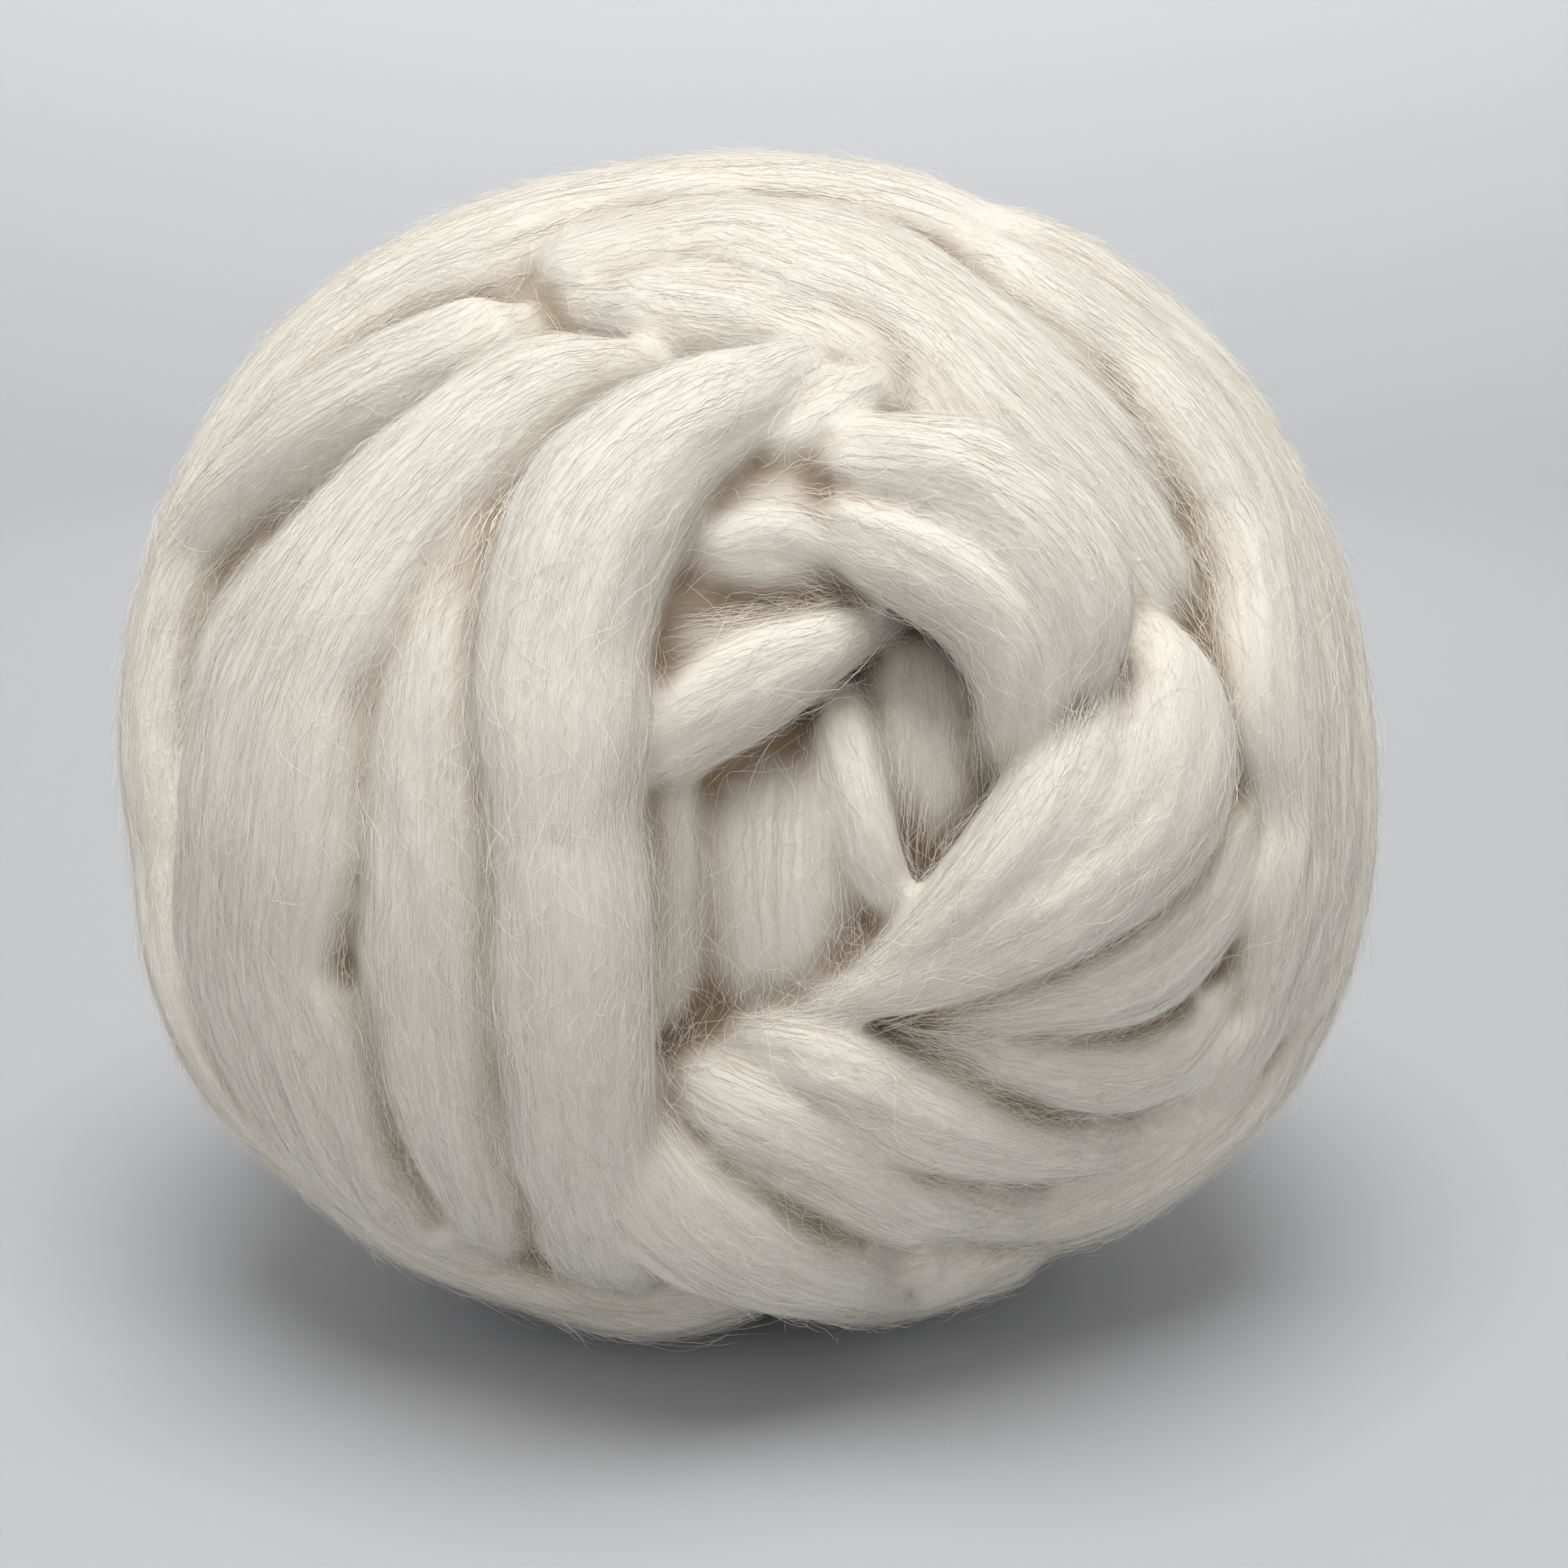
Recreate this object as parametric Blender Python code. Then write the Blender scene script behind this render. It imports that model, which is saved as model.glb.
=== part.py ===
"""Wound ball of wool roving: one unbroken length of combed top, wound round itself into a loose ball.

The ball rests on a small flat spot at the origin, +Z up, with its wound face, the nest where the turns
spiral inwards, towards -Y and tipped back a little. Every turn that shows is laid out here as a strand
with its own route, width and thickness, and the solid is the outer form of all of them together.
Lengths are in millimetres until the mesh is made.
"""

import math

import bmesh
import bpy
import numpy as np
from mathutils import Matrix, Vector
from mathutils.bvhtree import BVHTree

MM = 0.001

# The ball
HALF_SIZE = np.array([94.5, 87.5, 88.5])  # half its size across, front to back and up, over the turns
MIDDLE = np.array([0.2, 0.8, 84.0])       # its middle; the turns below the ground plane are pressed flat
SEAT_RADIUS = 24.0                        # the flat spot that it rests on
SEAT_BLEND = 1.7                          # how far out the turns still bulge down towards it
CORE_DEPTH = 8.5                          # from the outside of the turns down to the packed core
NEST_DEPTH = 24.0                         # how much further down the core lies in the nest
NEST_MIDDLE = (12, -6)                    # the nest's middle on the wound face, across and up
NEST_ANGLE = math.radians(34)             # from its middle to where the core is back at its depth

# The wound face is laid out as it is seen from a point in front of the ball and above it
FACE_TIP = math.radians(14)
FACE_DISTANCE = 400.0
FACE_OUT = np.array([0.0, -math.cos(FACE_TIP), math.sin(FACE_TIP)])
FACE_UP = np.array([0.0, math.sin(FACE_TIP), math.cos(FACE_TIP)])
FACE_RIGHT = np.array([1.0, 0.0, 0.0])

SPREAD = 1.15        # a strand is this much wider than what its neighbours leave in sight
LEAST_SEEN = 0.36    # a strand that turns away at the rim is at most this much narrower than it is
THICKEST = 0.9       # a narrow strand's thickness, at most this share of its width
STEP = 4.0           # between the sections along a strand
CURVE_ROWS = 12      # rows worked out between two places of a strand, before they are spaced evenly
SECTION_SIDES = 16
SECTION_POWER = 0.72                      # a section is an ellipse at 1 and squarer below
END_POWER = 16       # how late a strand rounds off towards its end
END_LEAST = 0.001    # the square of the share of its section that is left at its very end

CELLS = 28           # the solid's squares along each side of the cube that it is made from
CROWDING = 0.38      # how much closer together its points are on the wound face than behind
PROBES = 6           # around each point; its radius is the mean of theirs and its own
PROBE_SPREAD = math.radians(1.6)
STEEPEST = 1.3       # the most that the solid falls, for each millimetre along the ball, into a crease
EVENING = (0.4, 0.4)                      # how far each pass evens a point out towards its neighbours

WOOL_COLOUR = (0.78, 0.74, 0.66, 1)
WOOL_ROUGHNESS = 0.85

# Every strand of the wound face, from the innermost outwards, with its thickness. Each place is
# (across, up, below, width): across and up on the face, the depth of the strand's outer side below
# the ball's outside, and its width as it is seen on the face.
STRANDS = {
    "core_wrap": dict(thick=26, places=(
        (8, 16, 38, 26), (6, 6, 27, 32), (4, -6, 21, 35), (4, -18, 18, 36), (5, -28, 18, 35),
        (7, -36, 20, 32), (9, -44, 27, 26))),
    "core_rib": dict(thick=12, places=(
        (13, 8, 26, 6), (14, 0, 22, 7), (16, -8, 20, 8), (18, -16, 20, 8), (21, -24, 22, 7),
        (24, -31, 28, 6))),
    "core_dome": dict(thick=24, places=(
        (25, 18, 38, 18), (28, 9, 24, 27), (30, -1, 19, 32), (29, -11, 19, 31), (27, -21, 23, 26),
        (24, -29, 30, 18))),
    "core_edge": dict(thick=12, places=(
        (-11, 6, 18, 8), (-12, -4, 8, 10), (-12, -14, 6, 10), (-12, -25, 6, 10), (-12, -36, 7, 10),
        (-12, -44, 12, 9), (-12, -52, 20, 7))),
    "inner_top": dict(thick=12, places=(
        (-19, 20, 12, 8), (-12, 27, 10, 11), (-4, 31, 9, 12), (3, 32, 9, 12), (9, 29, 11, 10),
        (15, 24, 19, 6))),
    "inner_mid": dict(thick=12, places=(
        (-22, 12, 12, 9), (-14, 17, 11, 10), (-8, 21, 11, 9), (1, 22, 11, 8), (9, 22, 13, 7),
        (18, 20, 22, 4))),
    "inner_bright": dict(thick=16, places=(
        (-25, -1, 11, 16), (-16, 4, 8, 17), (-9, 7, 7, 15), (1, 12, 7, 13), (11, 16, 9, 10),
        (18, 19, 13, 6), (26, 21, 20, 3))),
    "right_flat_in": dict(thick=14, places=(
        (30, 52, 16, 10), (41, 44, 13, 14), (50, 33, 13, 14), (56, 22, 14, 14), (60, 10, 17, 12))),
    "low_gap": dict(thick=12, places=(
        (-14, -44, 26, 10), (-4, -47, 20, 10), (8, -47, 18, 10), (20, -49, 17, 10), (32, -50, 16, 9))),
    "over_low": dict(thick=15, places=(
        (-40, 60, 22, 5), (-34, 63, 13, 7), (-25, 66, 7, 9), (-15, 65, 6, 12), (-3, 64, 6, 13),
        (7, 61, 7, 14), (16, 56, 7, 14), (24, 50, 10, 13), (31, 44, 14, 12), (38, 36, 20, 10))),
    "over_top": dict(thick=17, places=(
        (-40, 62, 22, 5), (-34, 65, 13, 7), (-26, 69, 8, 10), (-17, 72, 5, 13), (-6, 74, 4, 15),
        (5, 73, 3, 17), (16, 70, 3, 18), (26, 64, 3, 19), (35, 57, 4, 20), (44, 49, 5, 21),
        (52, 41, 7, 21), (58, 32, 8, 20), (63, 23, 9, 18), (67, 13, 11, 16), (69, 4, 15, 12))),
    "right_under": dict(thick=14, places=(
        (76, -14, 14, 5), (74, -23, 5, 8), (72, -34, 3, 12), (67, -44, 2, 15), (58, -49, 2, 15),
        (48, -49, 3, 14), (38, -47, 4, 11), (28, -44, 7, 8), (19, -42, 12, 5))),
    "right_low": dict(thick=15, places=(
        (76, -5, 13, 5), (73, -13, 6, 9), (69, -23, 2, 15), (60, -32, 1, 18), (49, -37, 2, 14),
        (37, -40, 4, 9), (26, -41, 8, 6), (16, -41, 14, 4))),
    "bend_in": dict(thick=13, places=(
        (50, 16, 14, 6), (52, 8, 4, 9), (50, -2, 1, 11), (44, -11, 0, 12), (38, -18, 1, 12),
        (31, -25, 3, 11), (24, -31, 7, 8), (17, -36, 13, 5))),
    "bend_out": dict(thick=17, places=(
        (57, 22, 16, 6), (61, 15, 6, 10), (64, 7, 1, 14), (64, -2, -2, 17), (61, -11, -3, 18),
        (55, -18, -3, 18), (46, -25, -2, 16), (36, -31, 0, 14), (26, -36, 4, 10), (16, -39, 9, 6),
        (7, -41, 16, 4))),
    "rim_right_slip": dict(thick=10, places=(
        (41, 67, 16, 4), (50, 62, 9, 5), (59, 54, 5, 6), (66, 46, 3, 7), (71, 34, 3, 8),
        (74, 22, 4, 8), (75, 10, 6, 7), (76, 2, 12, 5))),
    "rim_right_fill": dict(thick=14, places=(
        (26, 80, 16, 8), (40, 75, 9, 9), (56, 65, 6, 10), (69, 50, 5, 11), (78, 34, 5, 11),
        (83, 18, 5, 11), (85, 2, 5, 11), (86, -16, 5, 11), (83, -35, 5, 11), (77, -50, 6, 11),
        (66, -64, 8, 10), (50, -72, 12, 8))),
    "rim_right_in": dict(thick=14, places=(
        (6, 78, 22, 6), (18, 77, 16, 6), (29, 74, 11, 7), (40, 70, 8, 8), (49, 65, 5, 9),
        (58, 58, 2, 9), (66, 51, 0, 10), (73, 39, 0, 10), (77, 27, 0, 10), (79, 14, 0, 10),
        (80, 1, 0, 10), (81, -12, 0, 10), (80, -25, -1, 10), (77, -38, -1, 10), (72, -48, -1, 10),
        (65, -57, 0, 10), (55, -64, 3, 9), (44, -69, 9, 7))),
    "rim_right_mid": dict(thick=18, places=(
        (0, 82, 16, 8), (14, 83, 8, 9), (28, 82, 3, 10), (40, 78, 0, 11), (50, 73, -1, 11),
        (60, 67, -1, 11), (72, 54, -1, 10), (81, 39, 0, 10), (87, 24, 0, 10), (90, 4, 0, 10),
        (91, -17, -2, 11), (88, -36, -4, 11), (81, -54, -5, 12), (70, -67, -4, 12), (56, -75, -2, 11),
        (42, -80, 2, 9), (28, -84, 8, 6))),
    "rim_left_gap": dict(thick=12, places=(
        (-20, 63, 24, 4), (-30, 60, 18, 5), (-38, 56, 15, 7), (-48, 48, 14, 8), (-60, 37, 12, 9),
        (-72, 24, 10, 10), (-80, 10, 8, 11), (-84, -6, 7, 12), (-84, -24, 7, 13), (-80, -42, 8, 12),
        (-70, -59, 10, 10))),
    "rim_left_low": dict(thick=15, places=(
        (-18, 68, 18, 5), (-29, 65, 9, 7), (-38, 61, 5, 9), (-53, 55, 3, 10), (-66, 47, 2, 11),
        (-78, 36, 1, 11), (-87, 23, 0, 11), (-91, 8, 0, 10), (-92, -6, 0, 10), (-91, -20, 1, 10),
        (-87, -37, 3, 10), (-80, -52, 7, 9))),
    "rim_outer": dict(thick=24, places=(
        (70, 40, 26, 8), (62, 54, 15, 9), (51, 66, 7, 11), (40, 75, 2, 13), (28, 81, 0, 13),
        (14, 85, 0, 14), (-2, 86, 0, 14), (-22, 84, 0, 15), (-41, 78, -1, 15), (-58, 69, -2, 14),
        (-73, 54, -2, 13), (-84, 36, -1, 12), (-91, 16, -1, 11), (-93, -4, -1, 10), (-93, -18, -2, 10),
        (-90, -35, -4, 11), (-83, -52, -5, 12), (-70, -67, -4, 13), (-53, -78, -4, 13),
        (-35, -84, -3, 13), (-15, -86, -3, 12), (5, -86, 1, 9), (22, -84, 8, 6))),
    "low_one": dict(thick=14, places=(
        (-20, -43, 18, 5), (-12, -45, 12, 6), (-3, -45, 9, 8), (6, -47, 6, 11), (15, -51, 3, 13),
        (24, -56, 2, 14), (34, -60, 1, 13), (44, -62, 1, 11), (54, -62, 1, 8), (64, -59, 3, 5),
        (72, -53, 6, 3), (78, -46, 12, 2))),
    "low_two": dict(thick=15, places=(
        (-20, -44, 18, 5), (-13, -47, 10, 8), (-7, -52, 5, 12), (1, -57, 3, 15), (11, -62, 2, 16),
        (21, -68, 1, 13), (31, -71, 0, 9), (41, -72, 0, 7), (51, -70, 0, 5), (61, -65, 1, 4),
        (70, -58, 4, 3), (77, -50, 10, 2))),
    "low_fan": dict(thick=16, places=(
        (-24, -42, 12, 8), (-21, -53, 3, 14), (-16, -64, -1, 19), (-9, -72, -3, 21), (0, -77, -3, 20),
        (10, -80, -2, 17), (22, -82, -2, 13), (30, -81, -2, 9), (38, -78, -2, 6), (48, -74, -1, 5),
        (59, -68, 1, 4), (69, -61, 6, 3))),
    "left_panel": dict(thick=16, places=(
        (-6, 56, 18, 8), (-14, 57, 7, 8), (-22, 56, 2, 10), (-29, 54, 0, 13), (-36, 50, -1, 15),
        (-44, 43, -2, 17), (-54, 33, -3, 20), (-62, 22, -4, 23), (-68, 11, -4, 27), (-71, -1, -4, 30),
        (-73, -14, -4, 31), (-74, -27, -3, 32), (-72, -39, -3, 33), (-68, -51, -3, 32),
        (-61, -62, -3, 28), (-52, -71, -2, 22), (-42, -77, 0, 16), (-31, -81, 5, 11), (-20, -84, 12, 8))),
    "left_second": dict(thick=12, places=(
        (-33, 48, 14, 5), (-37, 41, 6, 8), (-41, 32, 3, 11), (-45, 21, 1, 15), (-47, 10, 0, 18),
        (-48, -2, 0, 20), (-48, -13, 0, 21), (-48, -25, 0, 22), (-48, -36, 0, 22), (-47, -47, 0, 22),
        (-45, -57, 0, 20), (-42, -66, 1, 17), (-38, -73, 5, 13), (-33, -79, 11, 9))),
    "tuck": dict(thick=12, places=(
        (-16, 33, 20, 7), (-9, 38, 12, 10), (-2, 43, 7, 12), (5, 48, 4, 11), (12, 52, 4, 9),
        (18, 54, 7, 7), (24, 54, 12, 5))),
    "front_panel": dict(thick=15, places=(
        (14, 58, 8, 5), (7, 57, 0, 10), (0, 53, -3, 17), (-6, 49, -4, 23), (-13, 45, -5, 24),
        (-20, 38, -6, 25), (-25, 28, -6, 26), (-28, 14, -5, 25), (-28, 2, -5, 25), (-28, -11, -4, 24),
        (-27, -23, -4, 24), (-27, -36, -4, 24), (-26, -48, -4, 23), (-25, -60, -3, 22),
        (-23, -68, -2, 22), (-22, -75, 0, 22), (-21, -80, 5, 21), (-19, -86, 14, 18))),
    "knot_low": dict(thick=14, places=(
        (0, 36, 20, 4), (9, 35, 8, 7), (15, 33, 3, 10), (22, 29, 0, 12), (30, 26, -2, 13),
        (37, 22, -3, 14), (42, 15, -2, 14), (43, 8, 0, 12), (42, 0, 4, 9), (41, -7, 11, 5))),
    "knot_up": dict(thick=16, places=(
        (-6, 44, 22, 5), (2, 43, 12, 7), (9, 43, 4, 10), (16, 43, 0, 13), (24, 42, -3, 15),
        (32, 40, -5, 17), (39, 36, -6, 17), (45, 30, -6, 18), (49, 23, -5, 18), (50, 15, -3, 15),
        (48, 8, 0, 12), (45, 1, 6, 8), (43, -6, 14, 5))),
}

# The turns that close the back and the underside, from the innermost outwards. Each goes round the
# plane whose normal is swung up from +X and leaned back from the wound face (-90 faces as it does),
# offset along that normal as a share of the ball's half size, half_angle to both sides of its start.
# tuck is how deep its ends dive; a turn that meets its own start has none.
BACK_THICKNESS = 16
BACK_TURNS = tuple(
    dict(swing=14, lean=4, offset=offset, below=6, width=31, half_angle=128, tuck=12)
    for offset in (-0.84, -0.60, -0.36, -0.12, 0.12, 0.36, 0.60, 0.84)
) + (
    dict(swing=80, lean=-72, offset=-0.52, below=3, width=40, half_angle=186, tuck=0),
    dict(swing=24, lean=6, offset=0.40, below=2, width=37, half_angle=86, tuck=12),
    dict(swing=18, lean=0, offset=-0.42, below=1, width=37, half_angle=86, tuck=12),
    dict(swing=12, lean=-4, offset=0.0, below=0, width=38, half_angle=88, tuck=12),
    dict(swing=100, lean=-80, offset=-0.20, below=1, width=42, half_angle=186, tuck=0),
    dict(swing=68, lean=4, offset=-0.44, below=0, width=36, half_angle=93, tuck=12),
    dict(swing=60, lean=-2, offset=0.30, below=-1, width=36, half_angle=93, tuck=12),
)
TUCK_SHARE = 0.28    # of a turn's length to each side of its start, in which its end dives and narrows
TUCK_NARROWING = 0.5                      # the share of its width that a tucked end loses
TURN_PLACES = 21     # places along a turn that its curve goes through


def on_face(across, up, below):
    """Point of the ball, below its outside, that is seen at a place of the face; and how near it is."""
    eye = FACE_OUT * FACE_DISTANCE
    ray = across * FACE_RIGHT + up * FACE_UP - eye
    half = HALF_SIZE - below
    a = np.sum((ray / half) ** 2)
    b = 2 * np.sum(eye * ray / half ** 2)
    c = np.sum((eye / half) ** 2) - 1
    share = (-b - math.sqrt(max(b * b - 4 * a * c, 0))) / (2 * a)
    point = eye + share * ray
    return point / math.sqrt(np.sum((point / half) ** 2)), share


def smooth_through(places, step):
    """Evenly spaced rows along a Catmull-Rom curve through the places; the rows keep every column."""
    places = np.array(places, float)
    ends = (2 * places[0] - places[1], 2 * places[-1] - places[-2])
    knots = np.vstack([ends[0], places, ends[1]])
    gaps = np.sqrt(np.linalg.norm(np.diff(knots[:, :3], axis=0), axis=1))
    at = np.concatenate([[0], np.cumsum(gaps)])
    rows = []
    for first in range(len(places) - 1):
        t0, t1, t2, t3 = at[first:first + 4]
        p0, p1, p2, p3 = knots[first:first + 4]
        for t in np.linspace(t1, t2, CURVE_ROWS, endpoint=first == len(places) - 2):
            a1 = ((t1 - t) * p0 + (t - t0) * p1) / (t1 - t0)
            a2 = ((t2 - t) * p1 + (t - t1) * p2) / (t2 - t1)
            a3 = ((t3 - t) * p2 + (t - t2) * p3) / (t3 - t2)
            b1 = ((t2 - t) * a1 + (t - t0) * a2) / (t2 - t0)
            b2 = ((t3 - t) * a2 + (t - t1) * a3) / (t3 - t1)
            rows.append(((t2 - t) * b1 + (t - t1) * b2) / (t2 - t1))
    rows = np.array(rows)
    along = np.concatenate([[0], np.cumsum(np.linalg.norm(np.diff(rows[:, :3], axis=0), axis=1))])
    stops = np.linspace(0, along[-1], max(int(along[-1] / step), 8))
    return np.stack([np.interp(stops, along, column) for column in rows.T], axis=1)


def directions(line):
    """Unit directions out of the ball, and across the strand, at each of its rows."""
    points = line[:, :3]
    ahead = np.gradient(points, axis=0)
    ahead /= np.linalg.norm(ahead, axis=1)[:, None]
    outward = points / HALF_SIZE ** 2
    outward -= np.sum(outward * ahead, axis=1)[:, None] * ahead
    outward /= np.linalg.norm(outward, axis=1)[:, None]
    return outward, np.cross(ahead, outward)


def face_line(strand, step):
    """Rows (x, y, z, width) along the middle of a strand of the wound face."""
    places = []
    for across, up, below, width in strand["places"]:
        point, nearness = on_face(across, up, below + strand["thick"] / 2)
        places.append(np.array([*point, width * nearness * SPREAD]))
    line = smooth_through(places, step)
    sideways = directions(line)[1]
    sight = line[:, :3] - FACE_OUT * FACE_DISTANCE
    sight /= np.linalg.norm(sight, axis=1)[:, None]
    seen = np.sqrt(1 - np.sum(sideways * sight, axis=1) ** 2)
    line[:, 3] /= np.maximum(seen, LEAST_SEEN)
    return line


def back_line(turn, step):
    """Rows (x, y, z, width) along the middle of a turn round the back, its ends tucked in."""
    swing, lean = math.radians(turn["swing"]), math.radians(turn["lean"])
    normal = Vector((math.cos(swing) * math.cos(lean), math.sin(lean), math.sin(swing) * math.cos(lean)))
    back = Vector((0, 1, 0))
    back = (back - normal * back.dot(normal)).normalized()
    over = normal.cross(back)
    radius = math.sqrt(1 - turn["offset"] ** 2)
    places = []
    for share in np.linspace(-1, 1, TURN_PLACES):
        angle = math.radians(share * turn["half_angle"])
        place = normal * turn["offset"] + (back * math.cos(angle) + over * math.sin(angle)) * radius
        ending = max(0, abs(share) - 1 + TUCK_SHARE) / TUCK_SHARE if turn["tuck"] else 0
        depth = turn["below"] + BACK_THICKNESS / 2 + turn["tuck"] * ending
        places.append([*(np.array(place) * (HALF_SIZE - depth)), turn["width"] * (1 - TUCK_NARROWING * ending)])
    return smooth_through(places, step)


def strand_tube(line, thick):
    """Points and faces of a strand: a soft flattened section carried along its line."""
    outward, sideways = directions(line)
    turn = np.linspace(0, 2 * math.pi, SECTION_SIDES, endpoint=False)
    across = np.sign(np.cos(turn)) * np.abs(np.cos(turn)) ** SECTION_POWER
    rise = np.sin(turn)
    share = np.linspace(-1, 1, len(line))
    end = np.sqrt(np.clip(1 - np.abs(share) ** END_POWER, END_LEAST, 1))
    half_width = line[:, 3] / 2 * end
    half_thick = np.minimum(thick, line[:, 3] * THICKEST) / 2 * end
    aside = half_width[:, None] * across
    lift = half_thick[:, None] * rise - aside ** 2 / (2 * HALF_SIZE[2])
    points = (line[:, None, :3] + sideways[:, None, :] * aside[:, :, None]
              + outward[:, None, :] * lift[:, :, None]).reshape(-1, 3)
    faces = [(row * SECTION_SIDES + side, row * SECTION_SIDES + (side + 1) % SECTION_SIDES,
              (row + 1) * SECTION_SIDES + (side + 1) % SECTION_SIDES, (row + 1) * SECTION_SIDES + side)
             for row in range(len(line) - 1) for side in range(SECTION_SIDES)]
    return points, faces


def wound_turns():
    """All the strands, round the ball's middle, in one search tree for the outermost of them."""
    points, faces, count = [], [], 0
    tubes = [strand_tube(face_line(strand, STEP), strand["thick"]) for strand in STRANDS.values()]
    tubes += [strand_tube(back_line(turn, STEP), BACK_THICKNESS) for turn in BACK_TURNS]
    for tube_points, tube_faces in tubes:
        points.extend(Vector(point) for point in tube_points)
        faces.extend(tuple(count + index for index in face) for face in tube_faces)
        count += len(tube_points)
    return BVHTree.FromPolygons(points, faces)


def core_radius(direction, nest):
    """Distance from the ball's middle to the packed core, which lies deeper in the nest."""
    away = min(direction.angle(nest) / NEST_ANGLE, 1)
    depth = CORE_DEPTH + NEST_DEPTH * (1 - away ** 2) ** 2
    return 1 / math.sqrt(sum((part / (half - depth)) ** 2 for part, half in zip(direction, HALF_SIZE)))


def outer_radius(turns, direction, nest):
    """Mean distance from the ball's middle to its outermost strand, or core, around one direction."""
    aside = direction.orthogonal().normalized()
    leaning = Matrix.Rotation(PROBE_SPREAD, 3, aside) @ direction
    radii = []
    for aim in [direction] + [Matrix.Rotation(2 * math.pi * turn / PROBES, 3, direction) @ leaning
                              for turn in range(PROBES)]:
        hit = turns.ray_cast(aim * (HALF_SIZE.max() * 2), -aim)[0]
        radii.append(max(core_radius(aim, nest), hit.length if hit else 0))
    return sum(radii) / len(radii)


def soften(shape, aims, radii):
    """Raise the creases that are too steep, then even all the radii out a little."""
    shape.verts.index_update()
    pairs = [tuple(vert.index for vert in edge.verts) for edge in shape.edges]
    falls = [aims[one].angle(aims[other]) * HALF_SIZE[2] * STEEPEST for one, other in pairs]
    for _ in range(CELLS):
        for (one, other), fall in zip(pairs, falls):
            radii[one] = max(radii[one], radii[other] - fall)
            radii[other] = max(radii[other], radii[one] - fall)
    for share in EVENING:
        totals, counts = np.zeros(len(radii)), np.zeros(len(radii))
        for one, other in pairs:
            totals[[one, other]] += radii[other], radii[one]
            counts[[one, other]] += 1
        radii = list(np.array(radii) * (1 - share) + totals / counts * share)
    return radii


def press_flat(radius, direction):
    """Radius once the ball's weight has pressed its underside against the ground plane."""
    if direction.z >= 0:
        return radius
    to_ground = MIDDLE[2] / -direction.z
    from_middle = math.hypot(direction.x, direction.y) * to_ground
    pressed = min(max((SEAT_RADIUS * SEAT_BLEND - from_middle) / (SEAT_RADIUS * (SEAT_BLEND - 1)), 0), 1)
    radius = min(radius, to_ground)
    return radius + (to_ground - radius) * pressed


def wool():
    material = bpy.data.materials.new("wool")
    material.use_nodes = True
    shader = material.node_tree.nodes["Principled BSDF"]
    shader.inputs["Base Color"].default_value = WOOL_COLOUR
    shader.inputs["Roughness"].default_value = WOOL_ROUGHNESS
    shader.inputs["Metallic"].default_value = 0
    return material


def roving_ball():
    """The ball as one closed solid, from a cube whose points are sent out to the outermost strand."""
    turns = wound_turns()
    shape = bmesh.new()
    bmesh.ops.create_cube(shape, size=2)
    bmesh.ops.subdivide_edges(shape, edges=shape.edges[:], cuts=CELLS - 1, use_grid_fill=True)
    nest = Vector(on_face(*NEST_MIDDLE, 0)[0])
    aims = []
    for vert in shape.verts:
        even = Vector(math.tan(part * math.pi / 4) for part in vert.co)
        aims.append((even.normalized() + Vector(FACE_OUT) * CROWDING).normalized())
    radii = soften(shape, aims, [outer_radius(turns, aim, nest) for aim in aims])
    for vert, aim, radius in zip(shape.verts, aims, radii):
        vert.co = (aim * press_flat(radius, aim) + Vector(MIDDLE)) * MM
    bmesh.ops.triangulate(shape, faces=shape.faces[:])
    bmesh.ops.recalc_face_normals(shape, faces=shape.faces[:])
    mesh = bpy.data.meshes.new("roving_ball")
    shape.to_mesh(mesh)
    shape.free()
    mesh.shade_smooth()
    mesh.materials.append(wool())
    ball = bpy.data.objects.new("roving_ball", mesh)
    bpy.context.scene.collection.objects.link(ball)


for old in list(bpy.data.objects):
    bpy.data.objects.remove(old)
roving_ball()
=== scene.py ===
"""Looks of the ball of wool roving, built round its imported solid.

Every turn of the roving that shows is a band swept along its own line, with furrows where its fibres part
into locks. One soft skin covers the bands, fine fibres lie along them, and others stray across the creases or
stand off the ball. The tables of strands and turns start from those in the part's source, and most strands
lie a little differently here. Lengths are in millimetres until a mesh is made.
"""

import math

import bpy
import numpy as np
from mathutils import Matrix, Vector
from mathutils.bvhtree import BVHTree


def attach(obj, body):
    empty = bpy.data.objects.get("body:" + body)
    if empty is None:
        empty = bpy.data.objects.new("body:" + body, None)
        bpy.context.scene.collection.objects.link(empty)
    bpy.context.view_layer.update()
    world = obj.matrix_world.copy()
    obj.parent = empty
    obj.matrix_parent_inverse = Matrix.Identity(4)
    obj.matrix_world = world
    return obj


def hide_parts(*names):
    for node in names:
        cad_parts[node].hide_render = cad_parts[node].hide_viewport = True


MM = 0.001
TINY, TINY_SQUARE = 1e-9, 1e-6            # least length and squared length that anything is divided by

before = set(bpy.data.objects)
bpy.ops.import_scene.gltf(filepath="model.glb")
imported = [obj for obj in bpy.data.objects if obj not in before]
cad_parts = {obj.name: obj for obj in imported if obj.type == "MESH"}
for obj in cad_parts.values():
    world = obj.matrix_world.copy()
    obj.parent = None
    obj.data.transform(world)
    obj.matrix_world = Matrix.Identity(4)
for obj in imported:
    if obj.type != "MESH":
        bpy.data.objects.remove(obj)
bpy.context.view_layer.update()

SEED = 27            # of all that is drawn at random

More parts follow.
